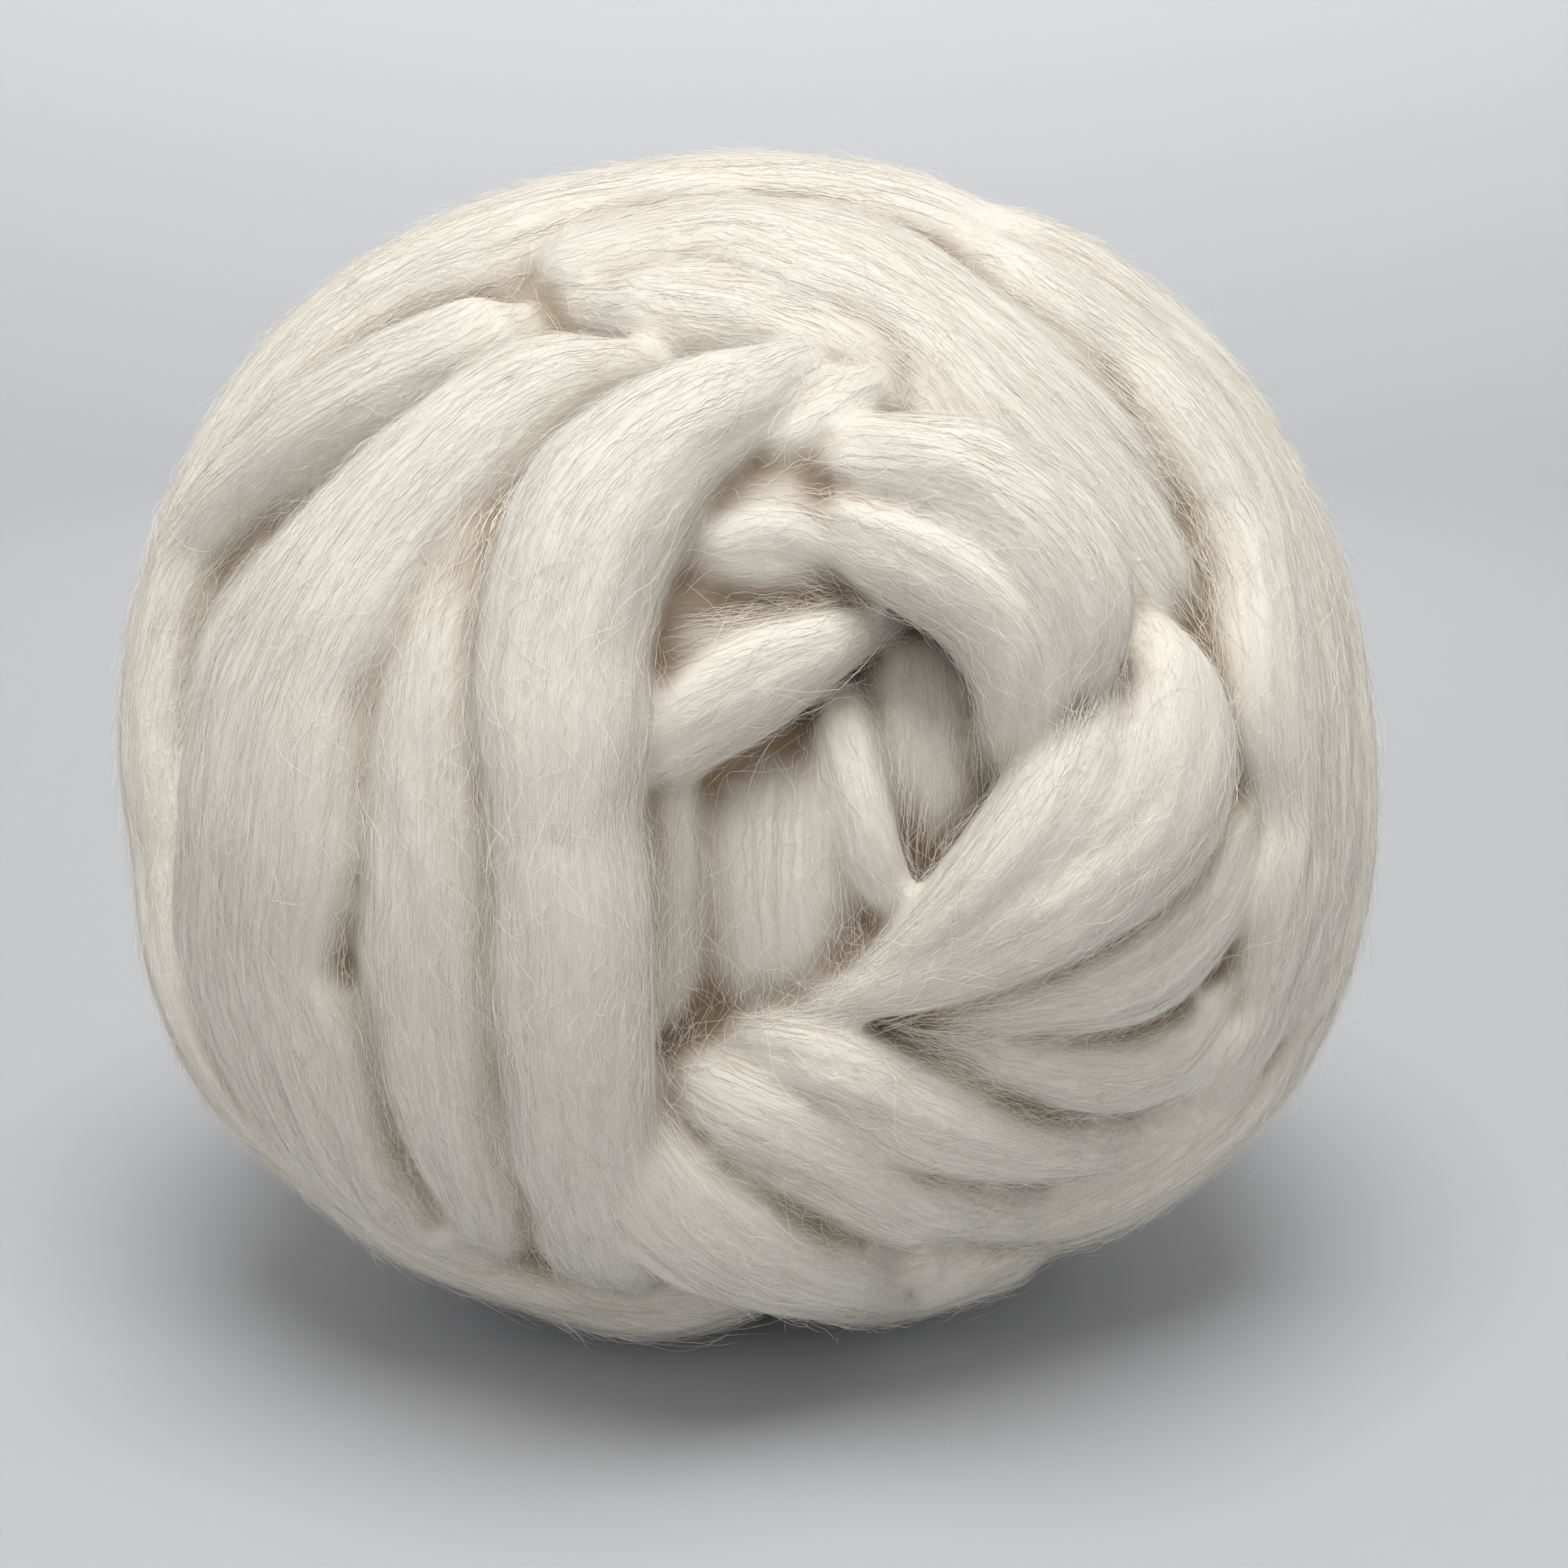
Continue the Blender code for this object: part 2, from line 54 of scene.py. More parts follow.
# The ball. Its outside is that of the part's source, and its core lies deeper, to leave deep creases.
HALF_SIZE = np.array([94.5, 87.5, 88.5])  # half its size across, front to back and up, over the turns
MIDDLE = np.array([0.2, 0.8, 84.0])       # its middle, from which its points are measured
FLOOR = -MIDDLE[2]                        # the height of the ground, measured so
CORE_DEPTH = 17.0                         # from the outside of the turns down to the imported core
CORE_ROWS, CORE_SIDES = 60, 120
NEST_DEPTH = 18.0                         # how much further down the core lies in the nest
NEST_MIDDLE = (12, -6)                    # the nest's middle on the wound face, across and up
NEST_ANGLE = math.radians(34)             # from its middle to where the core is back at its depth

# Where the wound face is seen from, and what is across and up on it
FACE_TIP = math.radians(14)
FACE_DISTANCE = 400.0
FACE_OUT = np.array([0.0, -math.cos(FACE_TIP), math.sin(FACE_TIP)])
FACE_UP = np.array([0.0, math.sin(FACE_TIP), math.cos(FACE_TIP)])
FACE_RIGHT = np.array([1.0, 0.0, 0.0])

# Strands
SPREAD = 1.06        # a strand is this much wider than what its neighbours leave in sight
LEAST_SEEN = 0.45    # a strand that turns away at the rim still shows this share of its width
CURVE_ROWS = 12      # rows worked out between two places of a strand, before they are spaced evenly
FEWEST_ROWS = 8      # of a strand, however short
STEP = 2.2           # between the sections of a band

# The section of a band
THICKEST = 0.9       # a narrow strand's thickness, at most this share of its width
PUFF = 1.2           # how much thicker its band is than that
FLATTER, WIDE = 1.6, 26                   # a band this wide has a section of the power 3.6, not an ellipse
PER_MM = 1.0         # points across its outer side, for each millimetre of its width
FEWEST, MOST = 16, 44                     # of those points
UNDER_SIDES = 6      # points across its hidden side
END_POWER = 16       # how late a band rounds off towards its end
END_LEAST = 0.001    # the square of the share of its section that is left at its very end
EDGE_LENGTHS, EDGE_WANDER = (31, 57), 0.05    # how its edges wander, as a share of its half width
BAND_APART, BAND_BEFORE = 1000, 100       # along the map: between bands' starts, and kept free before one
MAP_REACH = -2, 3    # where a point may lie beside the face that maps it, which itself is from 0 to 1

# Furrows. They wander as waves do, of some lengths along the band.
FURROW_SPACING = 7.0
FURROW_DEPTH = 2.0
FURROWS = ((1, 1), (0.41, 0.35))          # broad and fine: shares of that spacing and of that depth
FURROW_POWER = 0.55                       # the lower, the narrower the furrows are between their locks
FURROW_EDGE = 1.3                         # how soon they reach their depth, in from a band's edges
FURROW_HALF_WIDTH = 7                     # a band with a smaller half width has shallower furrows
DRIFT_LENGTHS, DRIFT = (60, 95, 170), 0.5             # how all drift across a band, in spacings
BEND_LENGTHS, BEND, BEND_SLANT = (48, 83), 0.16, 2    # how each bends, in waves that lie aslant
STRENGTH_LENGTHS, STRENGTH_SLANT = (37, 71, 123), 6   # of the waves that deepen and fade them
STRENGTH, STRENGTH_VARIES, FAINTEST = 0.55, 0.5, 0.05         # shares of their depth
CALM_STRANDS = "core_wrap", "core_dome"   # the core's broad turns, stretched smooth
CALM_FURROWS = 0.35  # the share of the furrows' depth that those keep

# The skin over all the bands
SKIN_CELL = 1.15     # between its points
SOFTENING = 0.5      # how far a round of softening moves a point to the mean of its neighbours
SKIN_SOFTENING = 4   # rounds of it
SKIN_TRIANGLES = 195000                   # that it is brought down to
HOLLOW_ROUNDS = 300  # rounds that give the form which the hollows lie below
HOLLOW_STARTS, HOLLOW_FULL = -0.4, 2.0    # how far below that form the painted shade of a crease starts, and is darkest

# Fibres
FIBRE_POINTS = 9     # along each
FACE_DENSER = 0.55   # how much denser the fibres are on the wound face than on the sides, as a share
FIBRE_CLEARANCE = 0.05                    # above the ground
FIBRE_BLUNTNESS = 1.02                    # over 1, so that a fibre's ends keep some width

# Fibres that lie in the wool
LYING_FIBRES = 30000
MOST_FIBRES = 12000  # in one piece, which keeps it under 200,000 triangles
LYING_REACH = 6, 20  # their lengths
LYING_WIDTH, LYING_WIDTHS = 0.10, (0.6, 1.3)          # and the shares of it that they vary between
LYING_SHADE_TONES = (      # from and to what depth of hollow, and the colour, darker with depth as painted shade in the creases; fibres deeper down are left out
    (-99, 0.1, (0.83, 0.79, 0.71)),
    (0.1, 0.9, (0.75, 0.69, 0.585)),
    (0.9, 1.8, (0.64, 0.565, 0.45)),
)
TONE_SCATTER = 0.1   # of that depth from fibre to fibre
LYING_ANGLE, LYING_HOLD = 0.22, 0.5       # about how far astray one starts, and how much a step turns it back
LYING_AGREES = 0.75  # one that turns further from the wool than this cosine is left out
LYING_LIFT, LYING_END_LIFT = (0.04, 0.14), 0.15       # off the wool, and how much more at its ends
CRIMP_LENGTH, CRIMP_HEIGHT = (2, 6), 0.4  # from wave to wave, and to each side at most

# Thin curly fibres that stand a little off the wool; lift is about how far their ends stand off
STRAYS = (
    dict(name="strays_0", count=12000, reach=(4, 15), lift=0.45),
    dict(name="strays_1", count=12000, reach=(4, 15), lift=0.45),
    dict(name="wisps", count=900, reach=(10, 28), lift=1.5),
)
STRAY_ANGLE, STRAY_HOLD = 0.8, 0.15       # as for the lying ones
STRAY_WIDTH, STRAY_WIDTHS = 0.05, (0.7, 1.2)
STRAY_LEAST_LIFT = 0.15                   # off the wool
STRAY_CURLS, STRAY_CURL_SIZE = (0.5, 1.7), 0.07       # curls along one, and their size as a share of it
STRAY_COLOUR = (0.82, 0.78, 0.70)

# The wool's looks
WOOL_SHADER = {"Roughness": 0.6, "Specular IOR Level": 0.25, "Sheen Weight": 0.2, "Sheen Roughness": 0.5}
WOOL_COLOUR = (0.8, 0.76, 0.68)           # plain, under the nodes that vary it
WOOL_DARK, WOOL_LIGHT = (0.70, 0.65, 0.555, 1), (0.82, 0.785, 0.705, 1)
WOOL_LIT, LIT_SHARE = (0.90, 0.865, 0.79, 1), 0.6     # where a hair catches the light
# painted shade, the colour that the wool is darkened to deep in its creases
CREASE_SHADE = (0.25, 0.18, 0.11, 1)
BUMP_STRENGTH, BUMP_DISTANCE = 0.3, 0.0006            # the distance in metres
STRAND_HEIGHT, HAIR_HEIGHT = 0.45, 0.35   # of the bump, where a lock's is 1
BENT = 0.0008        # how far strands and hairs bend from side to side, in metres
CONTOUR, CONTOUR_EDGE = 0.045, 0.032      # half the step between contours, and where a hair's edge starts

# Noises of the wool: spots to a metre along it and across it, and rounds of detail
CRIMP_NOISE, LOCK_NOISE = (300, 300, 1), (26, 900, 4)
STRAND_NOISE, HAIR_NOISE = (120, 3600, 3), (100, 500, 2)

# The studio and its lights, in metres and watts
STUDIO_GREYS = (0.50, 0.51, 0.53, 1), (0.865, 0.885, 0.915, 1)    # on the floor, and above GREY_HEIGHT: painted shade on the floor and painted light up the wall
GREY_HEIGHT = 0.6
STUDIO_SHADER = {"Roughness": 0.9, "Specular IOR Level": 0.1}
FLOOR_RADIUS, CURVE, WALL = 0.9, 0.5, 1.0             # the flat floor, the curve round it and the wall
CURVE_STEPS, STUDIO_SIDES = 16, 96
AIR_COLOUR, AIR_STRENGTH = (0.87, 0.80, 0.70, 1), 0.34
LIGHTS = (
    dict(name="overhead", place=(0.0, -0.3, 1.15), aim=(0, 0, 0.09), size=0.8, power=11.8),
    dict(name="front", place=(-0.2, -1.1, 0.25), aim=(0, 0, 0.05), size=0.9, power=1.9),
    dict(name="backdrop", place=(0, 0.5, 0.9), aim=(0, 1.5, 0.4), size=0.5, power=4.6),
)

# The camera, which is FACE_DISTANCE from the ball's middle, in millimetres
SENSOR, LENS = 36, 59.6
AIM_RIGHT, AIM_DOWN = 5.5, 6.4            # where it aims, from the ball's middle

# Every strand of the wound face, from the innermost outwards, with its thickness. Each place is
# (across, up, below, width): across and up on the face, the depth of the strand's outer side below
# the ball's outside, and its width as it is seen on the face.
STRANDS = {
    "core_wrap": dict(thick=15, places=(
        (8, 16, 32, 30), (6, 6, 22, 36), (4, -6, 16, 38), (4, -18, 14, 38), (5, -28, 14, 38),
        (7, -36, 14, 37), (8, -43, 14, 35), (9, -50, 16, 33), (10, -57, 24, 28))),
    "core_rib": dict(thick=12, places=(
        (13, 10, 19, 8), (15, 1, 12, 9), (17, -8, 9, 9), (19, -16, 8, 9), (22, -24, 9, 8),
        (25, -30, 12, 6), (27, -36, 19, 5))),
    "core_dome": dict(thick=20, places=(
        (25, 18, 32, 22), (28, 9, 21, 29), (30, -1, 16, 33), (29, -11, 16, 32), (27, -21, 19, 28),
        (24, -30, 26, 20))),
    "core_edge": dict(thick=12, places=(
        (-14, 6, 16, 11), (-14, -4, 10, 14), (-14, -14, 10, 14), (-14, -25, 10, 14),
        (-14, -36, 10, 14), (-14, -44, 13, 12), (-14, -52, 20, 8))),
    "inner_top": dict(thick=16, places=(
        (-20, 24, 10, 12), (-12, 28, 5, 17), (-4, 31, 4, 19), (4, 32, 4, 19), (11, 29, 6, 15),
        (17, 24, 14, 8))),
    "inner_mid": dict(thick=14, places=(
        (-28, 12, 9, 16), (-19, 16, 6, 18), (-11, 18, 6, 18), (-5, 19, 7, 15), (2, 20, 8, 13),
        (10, 21, 10, 9), (18, 22, 18, 5))),
    "inner_bright": dict(thick=16, places=(
        (-28, -4, 9, 17), (-17, 1, 5, 19), (-8, 6, 4, 18), (2, 11, 4, 16), (11, 15, 5, 12),
        (19, 19, 10, 8), (26, 22, 18, 3))),
    "right_flat_in": dict(thick=14, places=(
        (30, 52, 16, 10), (41, 44, 13, 14), (50, 33, 13, 14), (56, 22, 14, 14), (60, 10, 17, 12))),
    "low_gap": dict(thick=12, places=(
        (-14, -44, 22, 12), (-4, -47, 16, 12), (8, -48, 15, 12), (20, -49, 14, 12), (32, -50, 15, 10))),
    "over_low": dict(thick=15, places=(
        (-40, 60, 22, 5), (-34, 63, 13, 7), (-25, 66, 7, 9), (-15, 65, 6, 12), (-3, 64, 6, 13),
        (7, 61, 7, 14), (16, 56, 7, 14), (24, 50, 10, 13), (31, 44, 14, 12), (38, 36, 20, 10))),
    "over_top": dict(thick=17, places=(
        (-40, 62, 16, 6), (-34, 65, 9, 8), (-26, 69, 6, 11), (-17, 72, 5, 13), (-6, 74, 4, 15),
        (5, 73, 3, 17), (16, 70, 3, 18), (26, 64, 4, 19), (35, 57, 4, 21), (44, 49, 5, 23),
        (52, 41, 6, 24), (59, 32, 7, 23), (64, 23, 8, 21), (68, 13, 9, 18), (70, 4, 11, 15),
        (71, -5, 15, 12))),
    "right_under": dict(thick=14, places=(
        (72, 6, 12, 6), (75, -4, 6, 9), (75, -14, 4, 10), (74, -23, 3, 11), (72, -34, 3, 12),
        (67, -44, 2, 15), (58, -49, 2, 15), (48, -49, 3, 14), (38, -47, 4, 11), (28, -44, 7, 8),
        (19, -42, 12, 5))),
    "right_low": dict(thick=15, places=(
        (76, 4, 10, 7), (75, -5, 6, 11), (72, -13, 4, 14), (68, -23, 2, 16), (60, -32, 1, 18),
        (49, -37, 2, 14), (37, -40, 4, 9), (26, -41, 8, 6), (16, -41, 14, 4))),
    "bend_in": dict(thick=14, places=(
        (51, 17, 12, 7), (54, 8, 2, 11), (52, -2, -1, 14), (46, -12, -2, 14), (40, -19, -1, 13),
        (33, -26, 1, 11), (25, -32, 4, 8), (17, -37, 7, 6), (10, -40, 12, 4))),
    "bend_out": dict(thick=17, places=(
        (57, 22, 16, 6), (61, 15, 5, 11), (63, 7, 0, 17), (63, -2, -2, 21), (60, -11, -3, 22),
        (54, -18, -3, 21), (45, -25, -2, 18), (36, -31, 0, 14), (26, -36, 2, 10), (17, -39, 4, 7),
        (9, -41, 6, 5), (2, -42, 11, 3))),
    "rim_right_slip": dict(thick=12, places=(
        (38, 68, 12, 5), (48, 63, 6, 7), (57, 55, 4, 8), (65, 47, 3, 8), (71, 34, 3, 8),
        (74, 22, 4, 8), (75, 10, 6, 8), (75, -2, 8, 8), (74, -12, 12, 6))),
    "rim_right_fill": dict(thick=14, places=(
        (26, 80, 12, 8), (40, 75, 5, 10), (56, 65, 2, 11), (69, 50, 0, 12), (79, 34, 0, 12),
        (84, 18, 0, 12), (86, 2, 0, 12), (86, -16, -1, 13), (82, -33, -2, 15), (77, -46, -2, 15),
        (69, -60, 0, 13), (52, -71, 6, 9))),
    "rim_right_in": dict(thick=14, places=(
        (6, 79, 14, 6), (18, 77, 8, 8), (29, 74, 4, 10), (40, 70, 2, 11), (49, 65, 1, 11),
        (58, 58, 1, 11), (66, 50, 0, 11), (73, 39, 0, 11), (77, 27, 0, 11), (79, 14, 0, 11),
        (80, 1, 0, 11), (81, -12, 0, 11), (80, -25, -1, 12), (77, -38, -1, 13), (72, -48, -1, 13),
        (65, -57, 0, 12), (55, -64, 3, 10), (44, -69, 9, 7))),
    "rim_right_mid": dict(thick=18, places=(
        (0, 82, 16, 8), (14, 83, 8, 9), (28, 82, 3, 10), (40, 78, 0, 11), (50, 73, -1, 11),
        (60, 67, -1, 11), (72, 54, -1, 10), (81, 39, 0, 10), (87, 24, 0, 10), (90, 4, 0, 10),
        (91, -17, -2, 11), (88, -36, -4, 11), (81, -54, -5, 12), (70, -67, -4, 12), (56, -75, -2, 11),
        (42, -80, 2, 9), (28, -84, 8, 6))),
    "rim_left_gap": dict(thick=12, places=(
        (-20, 63, 24, 4), (-30, 60, 18, 5), (-38, 56, 15, 7), (-48, 48, 14, 8), (-60, 37, 12, 9),
        (-72, 24, 10, 10), (-80, 10, 8, 11), (-84, -6, 7, 12), (-84, -24, 7, 13), (-80, -42, 8, 12),
        (-70, -59, 10, 10))),
    "rim_left_low": dict(thick=15, places=(
        (-18, 68, 18, 5), (-29, 65, 9, 7), (-38, 61, 5, 9), (-53, 55, 3, 10), (-66, 47, 2, 11),
        (-78, 36, 1, 11), (-87, 23, 0, 11), (-91, 8, 0, 10), (-92, -6, 0, 10), (-91, -20, 1, 10),
        (-87, -37, 3, 10), (-80, -52, 7, 9))),
    "rim_outer": dict(thick=24, places=(
        (70, 40, 26, 8), (62, 54, 15, 9), (51, 66, 7, 11), (40, 75, 2, 13), (28, 81, 0, 13),
        (14, 85, 0, 14), (-2, 86, 0, 14), (-22, 84, 0, 15), (-41, 78, -1, 15), (-58, 69, -2, 14),
        (-73, 54, -2, 13), (-84, 36, -1, 12), (-91, 16, -1, 11), (-93, -4, -1, 10), (-93, -18, -2, 10),
        (-90, -35, -4, 11), (-83, -52, -5, 12), (-70, -67, -4, 13), (-53, -78, -4, 13),
        (-35, -84, -3, 13), (-15, -86, -3, 12), (5, -86, 1, 9), (22, -84, 8, 6))),
    "low_one": dict(thick=14, places=(
        (-20, -43, 18, 5), (-12, -45, 12, 6), (-3, -45, 9, 8), (6, -47, 6, 11), (15, -51, 3, 13),
        (24, -56, 2, 15), (34, -60, 1, 14), (44, -62, 1, 12), (54, -62, 1, 9), (64, -59, 3, 6),
        (72, -53, 6, 3), (78, -46, 12, 2))),
    "low_two": dict(thick=15, places=(
        (-20, -44, 18, 5), (-13, -47, 10, 8), (-7, -52, 5, 12), (1, -57, 3, 16), (11, -62, 2, 18),
        (21, -68, 1, 16), (31, -71, 0, 12), (41, -72, 0, 10), (51, -70, 0, 7), (61, -65, 1, 5),
        (70, -58, 4, 3), (77, -50, 10, 2))),
    "low_fan": dict(thick=16, places=(
        (-24, -42, 12, 8), (-21, -53, 3, 14), (-16, -64, -1, 19), (-9, -72, -3, 21), (0, -77, -3, 20),
        (10, -80, -2, 18), (22, -82, -2, 15), (30, -81, -2, 12), (38, -78, -2, 8), (48, -74, -1, 6),
        (59, -68, 1, 4), (69, -61, 6, 3))),
    "left_panel": dict(thick=16, places=(
        (-6, 56, 18, 8), (-14, 57, 7, 8), (-22, 56, 2, 10), (-29, 54, 0, 13), (-36, 50, -1, 15),
        (-44, 43, -2, 17), (-54, 33, -3, 20), (-62, 22, -4, 23), (-68, 11, -4, 27), (-71, -1, -4, 30),
        (-73, -14, -4, 31), (-74, -27, -3, 32), (-72, -39, -3, 33), (-68, -51, -3, 32),
        (-61, -62, -3, 28), (-52, -71, -2, 23), (-42, -77, -1, 18), (-31, -81, 2, 14), (-20, -84, 8, 9))),
    "left_second": dict(thick=13, places=(
        (-31, 51, 14, 6), (-36, 43, 5, 10), (-40, 33, 2, 13), (-44, 21, 0, 18), (-46, 10, -1, 21),
        (-47, -2, -1, 23), (-47, -13, -1, 24), (-47, -25, -1, 25), (-47, -36, -1, 25),
        (-46, -47, -1, 25), (-44, -57, -1, 23), (-41, -66, 0, 20), (-37, -73, 2, 16),
        (-32, -79, 6, 11), (-26, -83, 13, 6))),
    "tuck": dict(thick=14, places=(
        (-16, 33, 18, 7), (-9, 38, 9, 11), (-2, 42, 5, 15), (5, 45, 2, 16), (12, 50, 2, 14),
        (18, 54, 5, 10), (24, 55, 12, 6))),
    "front_panel": dict(thick=15, places=(
        (14, 58, 8, 5), (7, 57, 0, 10), (0, 53, -3, 15), (-6, 50, -4, 18), (-13, 46, -5, 20),
        (-21, 38, -6, 24), (-26, 28, -6, 25), (-29, 14, -5, 24), (-29, 2, -5, 24), (-29, -11, -4, 23),
        (-28, -23, -4, 23), (-28, -36, -4, 23), (-27, -48, -4, 22), (-26, -60, -3, 22),
        (-24, -68, -2, 22), (-22, -75, 0, 22), (-21, -80, 5, 21), (-19, -86, 14, 18))),
    "knot_low": dict(thick=15, places=(
        (0, 37, 20, 4), (9, 36, 7, 9), (15, 34, 2, 12), (22, 31, -1, 14), (30, 27, -3, 15),
        (37, 22, -4, 15), (42, 15, -3, 15), (43, 8, -1, 13), (42, 0, 4, 10), (41, -7, 11, 6))),
    "knot_up": dict(thick=16, places=(
        (-6, 44, 22, 5), (2, 43, 12, 7), (9, 43, 4, 10), (16, 43, 0, 13), (24, 42, -3, 15),
        (32, 40, -5, 17), (39, 36, -6, 17), (45, 30, -6, 18), (49, 23, -5, 18), (50, 15, -3, 15),
        (48, 8, 0, 12), (45, 1, 6, 8), (43, -6, 14, 5))),
}

# The turns that close the back and the underside, from the innermost outwards. Each goes round the
# plane whose normal is swung up from +X and leaned back from the wound face (-90 faces as it does),
# offset along that normal as a share of the ball's half size, half_angle to both sides of its start.
# tuck is how deep its ends dive; a turn that meets its own start has none.
BACK_THICKNESS = 16
BACK_TURNS = tuple(
    dict(swing=14, lean=4, offset=offset, below=6, width=31, half_angle=128, tuck=12)
    for offset in (-0.84, -0.60, -0.36, -0.12, 0.12, 0.36, 0.60, 0.84)
) + (
    dict(swing=80, lean=-72, offset=-0.52, below=3, width=40, half_angle=186, tuck=0),
    dict(swing=24, lean=6, offset=0.40, below=2, width=37, half_angle=86, tuck=12),
    dict(swing=18, lean=0, offset=-0.42, below=1, width=37, half_angle=86, tuck=12),
    dict(swing=12, lean=-4, offset=0.0, below=0, width=38, half_angle=88, tuck=12),
    dict(swing=100, lean=-80, offset=-0.20, below=1, width=42, half_angle=186, tuck=0),
    dict(swing=68, lean=4, offset=-0.44, below=0, width=36, half_angle=93, tuck=12),
    dict(swing=60, lean=-2, offset=0.30, below=-1, width=36, half_angle=93, tuck=12),
)
TUCK_SHARE = 0.28    # of a turn's length to each side of its start, in which its end dives and narrows
TUCK_NARROWING = 0.5                      # the share of its width that a tucked end loses
TURN_PLACES = 21     # places along a turn that its curve goes through

# ---------------------------------------------------------------- lines of the strands

def on_face(across, up, below):
    """Point of the ball, below its outside, that is seen at a place of the face; and how near it is."""
    eye = FACE_OUT * FACE_DISTANCE
    ray = across * FACE_RIGHT + up * FACE_UP - eye
    half = HALF_SIZE - below
    a = np.sum((ray / half) ** 2)
    b = 2 * np.sum(eye * ray / half ** 2)
    c = np.sum((eye / half) ** 2) - 1
    share = (-b - math.sqrt(max(b * b - 4 * a * c, 0))) / (2 * a)
    point = eye + share * ray
    return point / math.sqrt(np.sum((point / half) ** 2)), share


def smooth_through(places, step):
    """Evenly spaced rows along a Catmull-Rom curve through the places; the rows keep every column."""
    places = np.array(places, float)
    ends = (2 * places[0] - places[1], 2 * places[-1] - places[-2])
    knots = np.vstack([ends[0], places, ends[1]])
    gaps = np.sqrt(np.linalg.norm(np.diff(knots[:, :3], axis=0), axis=1))
    at = np.concatenate([[0], np.cumsum(gaps)])
    rows = []
    for first in range(len(places) - 1):
        t0, t1, t2, t3 = at[first:first + 4]
        p0, p1, p2, p3 = knots[first:first + 4]
        for t in np.linspace(t1, t2, CURVE_ROWS, endpoint=first == len(places) - 2):
            a1 = ((t1 - t) * p0 + (t - t0) * p1) / (t1 - t0)
            a2 = ((t2 - t) * p1 + (t - t1) * p2) / (t2 - t1)
            a3 = ((t3 - t) * p2 + (t - t2) * p3) / (t3 - t2)
            b1 = ((t2 - t) * a1 + (t - t0) * a2) / (t2 - t0)
            b2 = ((t3 - t) * a2 + (t - t1) * a3) / (t3 - t1)
            rows.append(((t2 - t) * b1 + (t - t1) * b2) / (t2 - t1))
    rows = np.array(rows)
    along = np.concatenate([[0], np.cumsum(np.linalg.norm(np.diff(rows[:, :3], axis=0), axis=1))])
    stops = np.linspace(0, along[-1], max(int(along[-1] / step), FEWEST_ROWS))
    return np.stack([np.interp(stops, along, column) for column in rows.T], axis=1)


def directions(line):
    """Unit directions out of the ball, and across the strand, at each of its rows."""
    points = line[:, :3]
    ahead = np.gradient(points, axis=0)
    ahead /= np.linalg.norm(ahead, axis=1)[:, None]
    outward = points / HALF_SIZE ** 2
    outward -= np.sum(outward * ahead, axis=1)[:, None] * ahead
    outward /= np.linalg.norm(outward, axis=1)[:, None]
    return outward, np.cross(ahead, outward)


def face_line(strand, step):
    """Rows (x, y, z, width) along the middle of a strand of the wound face."""
    places = []
    for across, up, below, width in strand["places"]:
        point, nearness = on_face(across, up, below + strand["thick"] / 2)
        places.append(np.array([*point, width * nearness * SPREAD]))
    line = smooth_through(places, step)
    sideways = directions(line)[1]
    sight = line[:, :3] - FACE_OUT * FACE_DISTANCE
    sight /= np.linalg.norm(sight, axis=1)[:, None]
    seen = np.sqrt(1 - np.sum(sideways * sight, axis=1) ** 2)
    line[:, 3] /= np.maximum(seen, LEAST_SEEN)
    return line


def back_line(turn, step):
    """Rows (x, y, z, width) along the middle of a turn round the back, its ends tucked in."""
    swing, lean = math.radians(turn["swing"]), math.radians(turn["lean"])
    normal = np.array([math.cos(swing) * math.cos(lean), math.sin(lean), math.sin(swing) * math.cos(lean)])
    back = np.array([0, 1, 0]) - normal * normal[1]
    back /= np.linalg.norm(back)
    over = np.cross(normal, back)
    radius = math.sqrt(1 - turn["offset"] ** 2)
    places = []
    for share in np.linspace(-1, 1, TURN_PLACES):
        angle = math.radians(share * turn["half_angle"])
        place = normal * turn["offset"] + (back * math.cos(angle) + over * math.sin(angle)) * radius
        ending = max(0, abs(share) - 1 + TUCK_SHARE) / TUCK_SHARE if turn["tuck"] else 0
        depth = turn["below"] + BACK_THICKNESS / 2 + turn["tuck"] * ending
        places.append([*(place * (HALF_SIZE - depth)), turn["width"] * (1 - TUCK_NARROWING * ending)])
    return smooth_through(places, step)


# ---------------------------------------------------------------- bands

def waves(rng, at, lengths, size):
    """A smooth random wandering: a few sines of the given lengths, together about the given size."""
    total = sum(np.sin(2 * math.pi * (at / length + rng.random())) for length in lengths)
    return total * size / math.sqrt(len(lengths))


def furrows(along, aside, rng):
    """How deep a band is furrowed, from 0 to about 1, where its fibres part into locks."""
    drift = waves(rng, along, DRIFT_LENGTHS, FURROW_SPACING * DRIFT)
    depth = 0
    for share, size in FURROWS:
        bend = waves(rng, along + BEND_SLANT * aside, BEND_LENGTHS, FURROW_SPACING * BEND)
        phase = (aside + drift + bend) / (FURROW_SPACING * share) + rng.random()
        valley = 1 - np.abs(np.sin(math.pi * phase)) ** FURROW_POWER
        varied = waves(rng, along + STRENGTH_SLANT * aside, STRENGTH_LENGTHS, STRENGTH_VARIES)
        depth = depth + size * valley * np.clip(STRENGTH + varied, FAINTEST, 1)
    return depth


def across_section(start, stop, count):
    """Places across a section, from -1 to 1, closer together towards its edges."""
    return np.sin(np.linspace(start, stop, count) * math.pi / 2)[None, :]


